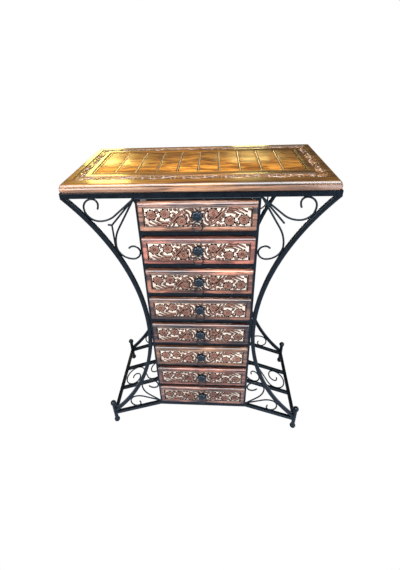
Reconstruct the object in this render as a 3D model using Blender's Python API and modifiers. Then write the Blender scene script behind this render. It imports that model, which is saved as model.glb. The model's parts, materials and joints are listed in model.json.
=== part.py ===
"""Chest of eight drawers in a wrought-iron hourglass stand, with a slatted wooden top.

Metres, +Z up, the front towards -Y. The stand rests on z = 0, under the middle of the whole chest.
Left is -X, as someone facing the drawers sees it.
"""
import math

import bmesh
import bpy
from mathutils import Matrix
from mathutils import Vector

# Clearance between pieces that touch
GAP = 0.0003

# Iron stock
BAR = 0.012
RAIL = 0.0141
FLAT_BAR = 0.0038
ROD = 0.005

# Overall height, to the top of the wooden top
HEIGHT = 0.9516

# Wooden top
TOP_WIDTH = 0.660
TOP_DEPTH = 0.343
TOP_BAND = 0.0115
TOP_CAP = 0.008
TOP_STEP = 0.002
TOP_ROUND = 0.006
TOP_FOOT = 0.0047
TOP_FOOT_SETBACK = 0.010
TOP_FOOT_END_SETBACK = 0.002
SLATS = 10
SLAT_WIDTH = 0.053
SLAT_LENGTH = 0.185
SLAT_SETBACK = 0.010
SLAT_THICKNESS = 0.005
GROOVE_WIDTH = 0.006
GROOVE_DEPTH = 0.0025

# Drawer stack
DRAWERS = 8
STACK_WIDTH = 0.304
FRAME_DEPTH = 0.328
RAIL_WIDTH = 0.672
SILL_Z = 0.119

# Drawer front, its leather panel and the box behind it, whose front wall stands as tall as the front
FRONT_GAP = 0.0036
FRONT_LIFT = 0.0061
FRONT_OVERLAP = 0.005
FRONT_THICKNESS = 0.0105
FRONT_ROUND = 0.003
PANEL_SIDE_MARGIN = 0.0145
PANEL_TOP_MARGIN = 0.013
PANEL_BOTTOM_MARGIN = 0.0115
PANEL_RECESS = 0.001
LEATHER = 0.002
BOX_FRONT_WALL = 0.009
BOX_DEPTH = 0.285
BOX_DROP = 0.0135
BOX_WALL = 0.008
BOX_FLOOR = 0.005
SIDE_PLAY = 0.001

# Angle-iron runners
RUNNER_FLANGE = 0.018
RUNNER_HEIGHT = 0.015
RUNNER_WALL = 0.003
RUNNER_PROUD = 0.0005
WELD = 0.001

# Rosette pull and its ring
PULL_HEIGHT = 0.0445
ROSETTE_RADIUS = 0.0147
PETALS = 8
PETAL_DEPTH = 0.09
ROSETTE_FRONT = 0.007
ROSETTE_BACK = 0.0025
STEM_DIAMETER = 0.010
STEM_LENGTH = 0.009
LUG_WIDTH = 0.0064
LUG_THICKNESS = 0.004
RING_RADIUS = 0.0130
RING_WIRE = 0.003
RING_PLAY = 0.0007
RING_STANDOFF = 0.005
RING_DROP = 0.017

# Curved legs
LEG_WAIST_Z = 0.4885
LEG_INSET = 0.0073

# Feet and the sloping base wings
FEET_WIDTH = 0.668
PIN_DIAMETER = 0.0135
PIN_TOP_Z = 0.107
BALL_DIAMETER = 0.021
BALL_FLAT = 0.0005
WING_END_Z = 0.0515
CROSS_Y = 0.049

# Scrolls: the angle at which each leaves its corner, its radii from the outside in, and the turn of its tail
RAIL_SCROLL_RISE = 40
RAIL_SCROLL_RADII = (0.0586, 0.033, 0.023, 0.0125, 0.027)
RAIL_SCROLL_TAIL = 25
DROP_SCROLL_RISE = 31
DROP_SCROLL_RADII = (0.095, 0.040, 0.021, 0.0170, 0.0145)
DROP_SCROLL_TAIL = 50
WING_SCROLL_RISE = 40
WING_SCROLL_RADII = (0.045, 0.030, 0.017, 0.015, 0.020)
WING_SCROLL_TAIL = 8
CLIMB_SCROLL_RISE = 50
CLIMB_SCROLL_RADII = (0.058, 0.033, 0.023, 0.016, 0.020)
CLIMB_SCROLL_TAIL = 50
ROOT_STEP = 0.0007
BRANCH_SLIMMER = 0.0002
DART_LENGTH = 0.088
BENT_DART = (0.0645, 0.0708)
SPUR = (0.0086, 0.0013)
S_SPINE = 60
S_SHOULDER = 0.036
S_INNER_RADII = (0.027, 0.021)
S_EYE_RADIUS = 0.013
S_EYE_TURN = 110
S_BULGE = 0.003

# Facets
ARC_STEP = 24
LEG_STEPS = 10
ROD_RESOLUTION = 1

# Sizes worked out from those above
STACK_INNER = STACK_WIDTH / 2 - BAR
STACK_OUTER = STACK_WIDTH / 2
FRAME_Y = FRAME_DEPTH / 2 - BAR / 2
FRAME_BOTTOM = SILL_Z + BAR + GAP
TOP_BOTTOM = HEIGHT - TOP_CAP - TOP_BAND
RAIL_BOTTOM = TOP_BOTTOM - TOP_FOOT - GAP - RAIL
FRAME_TOP = RAIL_BOTTOM - GAP
PITCH = (FRAME_TOP - FLAT_BAR - FRAME_BOTTOM) / DRAWERS
FRONT_HEIGHT = PITCH - BAR - FRONT_GAP - FRONT_LIFT
BOX_HEIGHT = FRONT_HEIGHT - BOX_DROP
FOOT_X = FEET_WIDTH / 2
WING_SLOPE = (SILL_Z + BAR / 2 - WING_END_Z) / (FOOT_X - STACK_OUTER)
WING_ANGLE = math.atan(WING_SLOPE)
WING_HALF = BAR / 2 / math.cos(WING_ANGLE)
FRONT_WIDTH = 2 * (STACK_INNER + FRONT_OVERLAP)
FRONT_BACK_Y = -FRAME_DEPTH / 2 - GAP
FRONT_FACE_Y = FRONT_BACK_Y - FRONT_THICKNESS
LEATHER_FACE_Y = FRONT_FACE_Y + PANEL_RECESS
PANEL_WIDTH = FRONT_WIDTH - 2 * PANEL_SIDE_MARGIN
FRONT_Z = FRONT_LIFT - RUNNER_PROUD
PULL_REACH = GAP + STEM_LENGTH + ROSETTE_FRONT
SHIFT_Y = (PULL_REACH - LEATHER_FACE_Y - TOP_DEPTH / 2) / 2

# Planes: an outline's x and y become x and z of the upright plane, or x and y of the level one
UPRIGHT = Matrix.Rotation(math.radians(90), 4, "X")
LEVEL = Matrix.Identity(4)
ALONG_X = Matrix(((0, 0, -1, 0), (0, 1, 0, 0), (1, 0, 0, 0), (0, 0, 0, 1)))


def wing_z(x):
    """Height of the middle of the sloping base bars at a distance x from the middle of the chest."""
    return SILL_Z + BAR / 2 - WING_SLOPE * (x - STACK_OUTER)


def runner_top(number):
    """Height of the top of the runners under a drawer, counted from the top of the stack."""
    return FRAME_BOTTOM + BAR + (DRAWERS - number) * PITCH + RUNNER_PROUD


# Mesh tools


def welded(mesh):
    """The mesh with the loose caps of its curve joined on."""
    shape = bmesh.new()
    shape.from_mesh(mesh)
    bmesh.ops.remove_doubles(shape, verts=shape.verts, dist=1e-6)
    shape.to_mesh(mesh)
    shape.free()
    return mesh


def baked(data, modifiers=()):
    """The mesh of a curve or mesh after its modifiers, each a type and its settings."""
    helper = bpy.data.objects.new("helper", data)
    PARTS.objects.link(helper)
    for kind, settings in modifiers:
        modifier = helper.modifiers.new(kind, kind)
        for key, value in settings.items():
            setattr(modifier, key, value)
    graph = bpy.context.evaluated_depsgraph_get()
    mesh = bpy.data.meshes.new_from_object(helper.evaluated_get(graph))
    bpy.data.objects.remove(helper)
    return welded(mesh)


def combined(mesh, others, operation):
    """The mesh after a union with each of the others, or after cutting them out."""
    helpers = []
    for other in others:
        helper = bpy.data.objects.new("cutter", other)
        CUTTERS.objects.link(helper)
        helper.hide_render = True
        helper.display_type = "WIRE"
        helpers.append(helper)
    steps = [("BOOLEAN", {"operation": operation, "object": helper}) for helper in helpers]
    result = baked(mesh, steps)
    for helper in helpers:
        bpy.data.objects.remove(helper)
    return result


def outline(loops, thickness, plane):
    """A flat plate: the first loop is its edge and any others are holes."""
    curve = bpy.data.curves.new("outline", "CURVE")
    curve.dimensions = "2D"
    curve.fill_mode = "BOTH"
    curve.extrude = thickness / 2
    for loop in loops:
        spline = curve.splines.new("POLY")
        spline.points.add(len(loop) - 1)
        for point, (x, y) in zip(spline.points, loop):
            point.co = (x, y, 0, 1)
        spline.use_cyclic_u = True
    mesh = baked(curve)
    mesh.transform(plane)
    return mesh


def rod(points, plane, diameter):
    """A round rod along points in a plane."""
    curve = bpy.data.curves.new("rod", "CURVE")
    curve.dimensions = "3D"
    curve.bevel_depth = diameter / 2
    curve.bevel_resolution = ROD_RESOLUTION
    curve.use_fill_caps = True
    spline = curve.splines.new("POLY")
    spline.points.add(len(points) - 1)
    for point, (x, y) in zip(spline.points, points):
        point.co = (x, y, 0, 1)
    mesh = baked(curve)
    mesh.transform(plane)
    return mesh


def block(low, high):
    """A box between two corners."""
    size = Vector(high) - Vector(low)
    middle = (Vector(high) + Vector(low)) / 2
    shape = bmesh.new()
    bmesh.ops.create_cube(shape, size=1, matrix=Matrix.Translation(middle) @ Matrix.Diagonal(size.to_4d()))
    mesh = bpy.data.meshes.new("block")
    shape.to_mesh(mesh)
    shape.free()
    return mesh


def cylinder(radius, low, high, segments):
    """A round bar along Z between two heights."""
    middle = Matrix.Translation((0, 0, (low + high) / 2))
    shape = bmesh.new()
    bmesh.ops.create_cone(shape, cap_ends=True, segments=segments, radius1=radius, radius2=radius,
                          depth=high - low, matrix=middle)
    mesh = bpy.data.meshes.new("cylinder")
    shape.to_mesh(mesh)
    shape.free()
    return mesh


def rectangle(half_x, half_y):
    """The corners of a rectangle round the origin."""
    return [(-half_x, -half_y), (half_x, -half_y), (half_x, half_y), (-half_x, half_y)]


def circle(radius, segments, middle=(0, 0)):
    """Points round a circle."""
    angles = [2 * math.pi * i / segments for i in range(segments)]
    return [(middle[0] + radius * math.cos(a), middle[1] + radius * math.sin(a)) for a in angles]


def mirrored(points, side):
    """Points for the right side as they are, and for the left side flipped in X."""
    return [(side * x, z) for x, z in points]


def moved(mesh, offset):
    """The mesh shifted by an offset."""
    mesh.transform(Matrix.Translation(offset))
    return mesh


def finish(name, colour, roughness, metallic):
    """A plain surface finish."""
    material = bpy.data.materials.new(name)
    material.use_nodes = True
    shader = material.node_tree.nodes["Principled BSDF"]
    shader.inputs["Base Color"].default_value = (*colour, 1)
    shader.inputs["Roughness"].default_value = roughness
    shader.inputs["Metallic"].default_value = metallic
    return material


def empty(name, location, parent=None):
    """A named point that carries other pieces."""
    point = bpy.data.objects.new(name, None)
    point.location = location
    point.parent = parent
    PARTS.objects.link(point)
    return point


def piece(name, mesh, material, parent, location=(0, 0, 0)):
    """A finished part of the chest, shaded smooth apart from its sharp edges."""
    if not mesh.materials:
        mesh.materials.append(material)
        mesh.shade_smooth()
        mesh.set_sharp_from_angle(angle=math.radians(35))
    part = bpy.data.objects.new(name, mesh)
    part.location = location
    part.parent = parent
    PARTS.objects.link(part)
    return part


# Scrollwork


def trace(heading, moves):
    """Points along straight runs (length, 0) and arcs (radius, turn in degrees), from the origin."""
    x = 0.0
    y = 0.0
    angle = math.radians(heading)
    points = [(x, y)]
    for size, turn in moves:
        steps = max(1, math.ceil(abs(turn) / ARC_STEP))
        step = math.radians(turn) / steps
        chord = 2 * size * math.sin(abs(step) / 2) if turn else size
        for _ in range(steps):
            angle += step / 2
            x += chord * math.cos(angle)
            y += chord * math.sin(angle)
            angle += step / 2
            points.append((x, y))
    return points


def scroll(rise, radii, tail_turn):
    """A scroll that leaves a straight member at an angle and curls back until it touches that member."""
    shoulder, outer, back, eye, tail = radii
    lean = math.radians(rise)
    run = (outer + back - shoulder * (1 - math.cos(lean))) / math.sin(lean)
    turns = [(run, 0), (shoulder, -rise), (outer, -90), (back, -90), (eye, -90), (tail, -tail_turn)]
    return trace(rise, turns)


def rooted(path, depth):
    """A path that starts a little way along its first run, inside the rod that it is welded to."""
    start = Vector(path[0])
    heading = (Vector(path[1]) - start).normalized()
    return [tuple(start + depth * heading), *path[1:]]


def seated(points, corner, along, away, leg_middle, leg_radius):
    """A scroll set in a corner of the frame, as large as it can be without passing the leg."""
    reach = leg_radius + BAR / 2 + ROD / 2 + GAP

    def at(scale):
        start = Vector(corner)
        return [start + scale * (Vector(along) * a + Vector(away) * w) for a, w in points]

    small = 0.3
    large = 3.0
    for _ in range(40):
        scale = (small + large) / 2
        clear = min((point - Vector(leg_middle)).length for point in at(scale)) > reach
        small, large = (scale, large) if clear else (small, scale)
    return [tuple(point) for point in at(small)]


# Wooden top


def make_top(parent):
    """The moulded board with a foot under it and a pocket, and the panel of slats that lies in the pocket."""
    half = Vector((TOP_WIDTH / 2, TOP_DEPTH / 2, 0))
    band = block((-half.x, -half.y, TOP_BOTTOM), (half.x, half.y, TOP_BOTTOM + TOP_BAND))
    step = Vector((half.x - TOP_STEP, half.y - TOP_STEP, 0))
    cap = block((-step.x, -step.y, TOP_BOTTOM + TOP_BAND / 3), (step.x, step.y, HEIGHT))
    under = Vector((half.x - TOP_FOOT_END_SETBACK, half.y - TOP_FOOT_SETBACK, 0))
    foot = block((-under.x, -under.y, TOP_BOTTOM - TOP_FOOT), (under.x, under.y, TOP_BOTTOM + TOP_BAND / 3))
    cap = baked(cap, [("BEVEL", {"width": min(TOP_ROUND, TOP_CAP * 0.9), "segments": 3})])
    pocket_x = SLATS * SLAT_WIDTH / 2
    pocket_y = SLAT_LENGTH / 2
    pocket = block((-pocket_x, -pocket_y, HEIGHT - SLAT_THICKNESS), (pocket_x, pocket_y, HEIGHT + TOP_CAP))
    moved(pocket, (0, SLAT_SETBACK, 0))
    board = combined(combined(band, [foot, cap], "UNION"), [pocket], "DIFFERENCE")
    piece("top_board", board, WOOD, parent)

    top = SLAT_THICKNESS - GAP
    profile = [(-pocket_x + GAP, 0), (pocket_x - GAP, 0), (pocket_x - GAP, top)]
    for joint in range(SLATS - 1, 0, -1):
        x = (joint - SLATS / 2) * SLAT_WIDTH
        profile += [(x + GROOVE_WIDTH / 2, top), (x, top - GROOVE_DEPTH), (x - GROOVE_WIDTH / 2, top)]
    profile.append((-pocket_x + GAP, top))
    slats = outline([profile], SLAT_LENGTH - 2 * GAP, UPRIGHT)
    piece("top_slats", slats, SLAT_WOOD, parent, (0, SLAT_SETBACK, HEIGHT - top))


# Iron stand


def make_rail(parent):
    """The square-tube frame under the top."""
    half_x = RAIL_WIDTH / 2
    half_y = FRAME_DEPTH / 2
    loops = [rectangle(half_x, half_y), rectangle(half_x - RAIL, half_y - RAIL)]
    piece("top_rail", outline(loops, RAIL, LEVEL), IRON, parent, (0, 0, RAIL_BOTTOM + RAIL / 2))


def leg_arcs():
    """Middles and radii of the upper and lower arcs of a right leg, tangent at its waist."""
    waist_x = STACK_OUTER + GAP + BAR / 2
    top_x = RAIL_WIDTH / 2 - LEG_INSET
    end_x = FOOT_X - PIN_DIAMETER / 2 - GAP
    end_z = wing_z(end_x) + WING_HALF + 0.75 * BAR + GAP
    arcs = []
    for x, z in ((top_x, FRAME_TOP), (end_x, end_z)):
        out = x - waist_x
        rise = z - LEG_WAIST_Z
        radius = (out * out + rise * rise) / (2 * out)
        arcs.append(((waist_x + radius, LEG_WAIST_Z), radius))
    return arcs, end_x


def leg_edge(offset):
    """Points down one edge of a right leg, at an offset from its middle line."""
    (upper, upper_radius), (lower, lower_radius) = leg_arcs()[0]
    end_x = leg_arcs()[1]
    radius = upper_radius + offset
    start = math.asin((FRAME_TOP - LEG_WAIST_Z) / radius)
    angles = [start * (1 - i / LEG_STEPS) for i in range(LEG_STEPS + 1)]
    points = [(upper[0] - radius * math.cos(a), LEG_WAIST_Z + radius * math.sin(a)) for a in angles]
    radius = lower_radius + offset
    end = math.acos((lower[0] - end_x) / radius)
    angles = [end * i / LEG_STEPS for i in range(1, LEG_STEPS + 1)]
    points += [(lower[0] - radius * math.cos(a), LEG_WAIST_Z - radius * math.sin(a)) for a in angles]
    return points


def make_legs(parent):
    """Four bowed legs of square bar, from the corners of the rail in to the stack and out to the feet."""
    edge = leg_edge(BAR / 2) + leg_edge(-BAR / 2)[::-1]
    for side, hand in SIDES:
        mesh = outline([mirrored(edge, side)], BAR, UPRIGHT)
        for front, end in ENDS:
            piece(f"leg_{end}_{hand}", mesh, IRON, parent, (0, front * FRAME_Y, 0))


def make_scrolls(parent):
    """Pairs of scrolls in the corners between legs and stack, the upper ones with a dart between them.

    The left front dart is longer, bent down to the leg, and has a short spur at the bend.
    """
    (upper, upper_radius), (lower, lower_radius) = leg_arcs()[0]
    root_x = STACK_OUTER + GAP + ROD / 2
    root_z = RAIL_BOTTOM - GAP - ROD / 2
    base_z = wing_z(root_x) + WING_HALF + (GAP + ROD / 2) / math.cos(WING_ANGLE)
    down_wing = (math.cos(WING_ANGLE), -math.sin(WING_ANGLE))
    off_wing = (math.sin(WING_ANGLE), math.cos(WING_ANGLE))
    corner = (root_x, root_z)
    rail_scroll = scroll(RAIL_SCROLL_RISE, RAIL_SCROLL_RADII, RAIL_SCROLL_TAIL)
    rail_scroll = seated(rail_scroll, corner, (1, 0), (0, -1), upper, upper_radius)
    drop_scroll = scroll(DROP_SCROLL_RISE, DROP_SCROLL_RADII, DROP_SCROLL_TAIL)
    drop_scroll = seated(drop_scroll, corner, (0, -1), (1, 0), upper, upper_radius)
    lean = math.radians((RAIL_SCROLL_RISE + 90 - DROP_SCROLL_RISE) / 2)
    dart = [corner, (root_x + DART_LENGTH * math.cos(lean), root_z - DART_LENGTH * math.sin(lean))]
    bend = (root_x + BENT_DART[0], root_z - BENT_DART[1])
    reach = upper_radius + BAR / 2 + ROD / 2 + GAP
    landing = upper[1] + math.sqrt(reach ** 2 - (upper[0] - bend[0]) ** 2)
    bent_dart = [corner, bend, (bend[0], landing)]
    spur = [bend, (bend[0] + SPUR[0], bend[1] + SPUR[1])]
    foot = (root_x, base_z)
    wing_scroll = scroll(WING_SCROLL_RISE, WING_SCROLL_RADII, WING_SCROLL_TAIL)
    wing_scroll = seated(wing_scroll, foot, down_wing, off_wing, lower, lower_radius)
    climb_scroll = scroll(CLIMB_SCROLL_RISE, CLIMB_SCROLL_RADII, CLIMB_SCROLL_TAIL)
    climb_scroll = seated(climb_scroll, foot, (0, 1), (1, 0), lower, lower_radius)
    for side, hand in SIDES:
        for front, end in ENDS:
            darts = (bent_dart, spur) if (end, hand) == ("front", "left") else (dart,)
            levels = {"upper": (rail_scroll, *darts, drop_scroll), "lower": (wing_scroll, climb_scroll)}
            for level, paths in levels.items():
                mesh = rod(mirrored(paths[0], side), UPRIGHT, ROD)
                for place, path in enumerate(paths[1:], 1):
                    branch = rooted(path, place * ROOT_STEP)
                    slimmer = rod(mirrored(branch, side), UPRIGHT, ROD - place * BRANCH_SLIMMER)
                    mesh = combined(mesh, [slimmer], "UNION")
                piece(f"{level}_scroll_{end}_{hand}", mesh, IRON, parent, (0, front * FRAME_Y, 0))


def foot_pin():
    """A pin with a ball at each end, cut flat where it stands on the floor."""
    radius = BALL_DIAMETER / 2
    shaft = cylinder(PIN_DIAMETER / 2, radius, PIN_TOP_Z, 10)
    balls = []
    for z in (radius - BALL_FLAT, PIN_TOP_Z):
        shape = bmesh.new()
        bmesh.ops.create_uvsphere(shape, u_segments=10, v_segments=6, radius=radius,
                                  matrix=Matrix.Translation((0, 0, z)))
        ball = bpy.data.meshes.new("ball")
        shape.to_mesh(ball)
        shape.free()
        balls.append(ball)
    pin = combined(shaft, balls, "UNION")
    below = block((-radius, -radius, -radius), (radius, radius, 0))
    return combined(pin, [below], "DIFFERENCE")


def s_scroll():
    """Half-turn symmetric S in the plane of a wing, touching both cross bars."""
    touch = CROSS_Y - BAR / 2 - ROD / 2 + GAP
    lean = math.radians(S_SPINE)
    run = (touch - S_SHOULDER * (1 - math.cos(lean))) / math.sin(lean)
    moves = [(run, 0), (S_SHOULDER, S_SPINE), (touch + S_BULGE, 90), (touch - S_BULGE, 90)]
    moves += [(radius, 90) for radius in S_INNER_RADII]
    moves.append((S_EYE_RADIUS, S_EYE_TURN))
    half = trace(-S_SPINE, moves)
    return [(-x, -y) for x, y in half[:0:-1]] + half


def make_wings(parent):
    """Two sloping side frames: four bars out to a side rail, an S scroll and the two feet.

    The two S scrolls are alike and not mirrored.
    """
    start_x = STACK_OUTER + GAP
    length = FOOT_X - start_x
    drop = WING_SLOPE * length
    start_z = wing_z(start_x)
    bar = [(0, -WING_HALF), (length, -drop - WING_HALF), (length, -drop + WING_HALF), (0, WING_HALF)]
    middle_x = (start_x + FOOT_X - BAR / 2) / 2
    for side, hand in SIDES:
        pieces = []
        for y in (-FRAME_Y, -CROSS_Y, CROSS_Y, FRAME_Y):
            mesh = outline([mirrored(bar, side)], BAR, UPRIGHT)
            pieces.append(moved(mesh, (side * start_x, y, start_z)))
        tilt = Matrix.Rotation(side * WING_ANGLE, 4, "Y")
        scroll_mesh = rod(s_scroll(), tilt, ROD)
        pieces.append(moved(scroll_mesh, (side * middle_x, 0, wing_z(middle_x))))
        for y in (-FRAME_Y, FRAME_Y):
            pieces.append(moved(foot_pin(), (side * FOOT_X, y, 0)))
        low = (side * FOOT_X - BAR / 2, -FRAME_Y, wing_z(FOOT_X) - BAR / 2)
        high = (side * FOOT_X + BAR / 2, FRAME_Y, wing_z(FOOT_X) + BAR / 2)
        mesh = combined(block(low, high), pieces, "UNION")
        piece(f"base_wing_{hand}", mesh, IRON, parent)


def make_sill(parent):
    """The rectangular frame that the drawer stack stands on."""
    loops = [rectangle(STACK_OUTER, FRAME_DEPTH / 2), rectangle(STACK_INNER, FRAME_DEPTH / 2 - BAR)]
    piece("base_sill", outline(loops, BAR, LEVEL), IRON, parent, (0, 0, SILL_Z + BAR / 2))


def upright_rectangle(half, low, high):
    """Corners of an upright rectangle about the middle of the chest."""
    return [(-half, low), (half, low), (half, high), (-half, high)]


def ladder():
    """Two uprights with a rung under each drawer and a flat bar across the top."""
    loops = [upright_rectangle(STACK_OUTER, FRAME_BOTTOM, FRAME_TOP)]
    for rung in range(DRAWERS):
        ceiling = FRAME_BOTTOM + (rung + 1) * PITCH
        loops.append(upright_rectangle(STACK_INNER, ceiling - PITCH + BAR, ceiling))
    return outline(loops, BAR, UPRIGHT)


def make_frames(parent):
    """The front ladder, and the rear ladder with the angle runners welded to it."""
    piece("front_frame", ladder(), IRON, parent, (0, -FRAME_Y, 0))

    outer = STACK_INNER + WELD
    inner = STACK_INNER - RUNNER_FLANGE
    face = STACK_INNER - RUNNER_WALL
    angle = [(inner, -RUNNER_WALL), (outer, -RUNNER_WALL), (outer, RUNNER_HEIGHT - RUNNER_WALL)]
    angle += [(face, RUNNER_HEIGHT - RUNNER_WALL), (face, 0), (inner, 0)]
    start_y = -FRAME_DEPTH / 2 + BAR + GAP
    end_y = FRAME_DEPTH / 2 - WELD
    runners = []
    for side, _ in SIDES:
        for number in range(1, DRAWERS + 1):
            mesh = outline([mirrored(angle, side)], end_y - start_y, UPRIGHT)
            runners.append(moved(mesh, (0, (start_y + end_y) / 2, runner_top(number))))
    cage = combined(moved(ladder(), (0, FRAME_Y, 0)), runners, "UNION")
    piece("runner_cage", cage, IRON, parent)


# Drawers


def front_mesh():
    """A drawer front with rounded edges and a shallow pocket for the leather."""
    board = block((-FRONT_WIDTH / 2, FRONT_FACE_Y, 0), (FRONT_WIDTH / 2, FRONT_BACK_Y, FRONT_HEIGHT))
    board = baked(board, [("BEVEL", {"width": FRONT_ROUND, "segments": 2})])
    depth = PANEL_RECESS + LEATHER + GAP
    low = (-PANEL_WIDTH / 2, FRONT_FACE_Y - depth, PANEL_BOTTOM_MARGIN)
    high = (PANEL_WIDTH / 2, FRONT_FACE_Y + depth, FRONT_HEIGHT - PANEL_TOP_MARGIN)
    return combined(board, [block(low, high)], "DIFFERENCE")


def leather_mesh():
    """The leather panel that lies in the pocket."""
    low = (-PANEL_WIDTH / 2 + GAP, LEATHER_FACE_Y, PANEL_BOTTOM_MARGIN + GAP)
    high = (PANEL_WIDTH / 2 - GAP, LEATHER_FACE_Y + LEATHER, FRONT_HEIGHT - PANEL_TOP_MARGIN - GAP)
    return block(low, high)


def box_mesh():
    """An open tray whose front wall backs the drawer front, as tall as it and as wide as the opening."""
    wide = STACK_INNER - SIDE_PLAY
    half = wide - RUNNER_WALL
    start = FRONT_BACK_Y + GAP
    end = start + BOX_DEPTH
    wall = start + BOX_FRONT_WALL
    tall = FRONT_Z + FRONT_HEIGHT - GAP
    tray = block((-wide, start, 0), (wide, end, tall))
    above = block((-wide - BOX_WALL, wall, BOX_HEIGHT), (wide + BOX_WALL, end + BOX_WALL, tall + BOX_WALL))
    left = block((-wide - BOX_WALL, wall, -BOX_WALL), (-half, end + BOX_WALL, tall + BOX_WALL))
    right = block((half, wall, -BOX_WALL), (wide + BOX_WALL, end + BOX_WALL, tall + BOX_WALL))
    inner = half - BOX_WALL
    inside = block((-inner, wall - GAP, BOX_FLOOR), (inner, end - BOX_WALL, BOX_HEIGHT + BOX_WALL / 2))
    return combined(tray, [above, left, right, inside], "DIFFERENCE")


def pull_mesh():
    """A petalled rosette on a stem, with a pierced lug below it for the ring; it stands out along Z."""
    shape = bmesh.new()
    bmesh.ops.create_uvsphere(shape, u_segments=2 * PETALS, v_segments=4, radius=1)
    for vert in shape.verts:
        swell = 1 + PETAL_DEPTH * math.cos(PETALS * math.atan2(vert.co.y, vert.co.x))
        vert.co.x *= ROSETTE_RADIUS * swell
        vert.co.y *= ROSETTE_RADIUS * swell
        vert.co.z = STEM_LENGTH + vert.co.z * (ROSETTE_FRONT if vert.co.z > 0 else ROSETTE_BACK)
    rosette = bpy.data.meshes.new("rosette")
    shape.to_mesh(rosette)
    shape.free()
    stem = cylinder(STEM_DIAMETER / 2, 0, STEM_LENGTH, 12)
    half = LUG_WIDTH / 2
    arc = [math.pi + math.pi * i / 6 for i in range(7)]
    edge = [(RING_STANDOFF + half * math.cos(a), -RING_DROP + half * math.sin(a)) for a in arc]
    edge += [(RING_STANDOFF + half, 0), (RING_STANDOFF - half, 0)]
    hole = circle(RING_WIRE / 2 + RING_PLAY, 12, (RING_STANDOFF, -RING_DROP))
    lug = outline([edge, hole], LUG_THICKNESS, ALONG_X)
    mesh = combined(rosette, [stem, lug], "UNION")
    mesh.transform(UPRIGHT)
    return mesh


def ring_mesh():
    """A wire ring that hangs from its top."""
    bpy.ops.mesh.primitive_torus_add(major_radius=RING_RADIUS, minor_radius=RING_WIRE / 2,
                                     major_segments=16, minor_segments=6)
    maker = bpy.context.object
    mesh = maker.data
    bpy.data.objects.remove(maker)
    mesh.transform(Matrix.Translation((0, 0, -RING_RADIUS)) @ UPRIGHT)
    mesh.materials.clear()
    return mesh


def make_drawers(parent):
    """Eight alike drawers: front, leather, box, pull and ring, each carried by its own empty."""
    front = front_mesh()
    leather = leather_mesh()
    box = box_mesh()
    pull = pull_mesh()
    ring = ring_mesh()
    pull_z = FRONT_Z + PULL_HEIGHT
    pull_y = LEATHER_FACE_Y - GAP
    for number in range(1, DRAWERS + 1):
        name = f"drawer_{number}"
        slide = empty(name, (0, 0, runner_top(number)), parent)
        piece(f"{name}_front", front, DRAWER_WOOD, slide, (0, 0, FRONT_Z))
        piece(f"{name}_leather", leather, TOOLED_LEATHER, slide, (0, 0, FRONT_Z))
        piece(f"{name}_box", box, BOX_WOOD, slide, (0, 0, GAP))
        piece(f"{name}_pull", pull, PULL_IRON, slide, (0, pull_y, pull_z))
        piece(f"{name}_ring", ring, PULL_IRON, slide, (0, pull_y - RING_STANDOFF, pull_z - RING_DROP))


for existing in list(bpy.data.objects):
    bpy.data.objects.remove(existing)

SIDES = ((-1, "left"), (1, "right"))
ENDS = ((-1, "front"), (1, "rear"))

PARTS = bpy.data.collections.new("chest_of_drawers")
CUTTERS = bpy.data.collections.new("cutters")
for group in (PARTS, CUTTERS):
    bpy.context.scene.collection.children.link(group)

WOOD = finish("varnished_top_wood", (0.30, 0.13, 0.04), 0.25, 0)
SLAT_WOOD = finish("slat_wood", (0.42, 0.20, 0.05), 0.22, 0)
DRAWER_WOOD = finish("drawer_wood", (0.21, 0.08, 0.04), 0.35, 0)
BOX_WOOD = finish("box_wood", (0.45, 0.30, 0.17), 0.7, 0)
TOOLED_LEATHER = finish("tooled_leather", (0.40, 0.19, 0.10), 0.45, 0)
IRON = finish("black_iron", (0.02, 0.02, 0.023), 0.45, 0.6)
PULL_IRON = finish("pull_iron", (0.03, 0.035, 0.04), 0.35, 0.8)

CHEST = empty("chest", (0, SHIFT_Y, 0))
make_top(CHEST)
make_rail(CHEST)
make_legs(CHEST)
make_scrolls(CHEST)
make_wings(CHEST)
make_sill(CHEST)
make_frames(CHEST)
make_drawers(CHEST)
bpy.context.view_layer.update()
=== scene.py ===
"""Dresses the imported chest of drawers: carved top, scrolled iron stand, tooled leather fronts and ring pulls.

Metres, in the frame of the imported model. Left is -X and the front is towards -Y.
"""
import json
import random
from math import acos, asin, atan, ceil, cos, pi, radians, sin, sqrt

import bmesh
import bpy
from mathutils import Matrix, Vector

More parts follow.
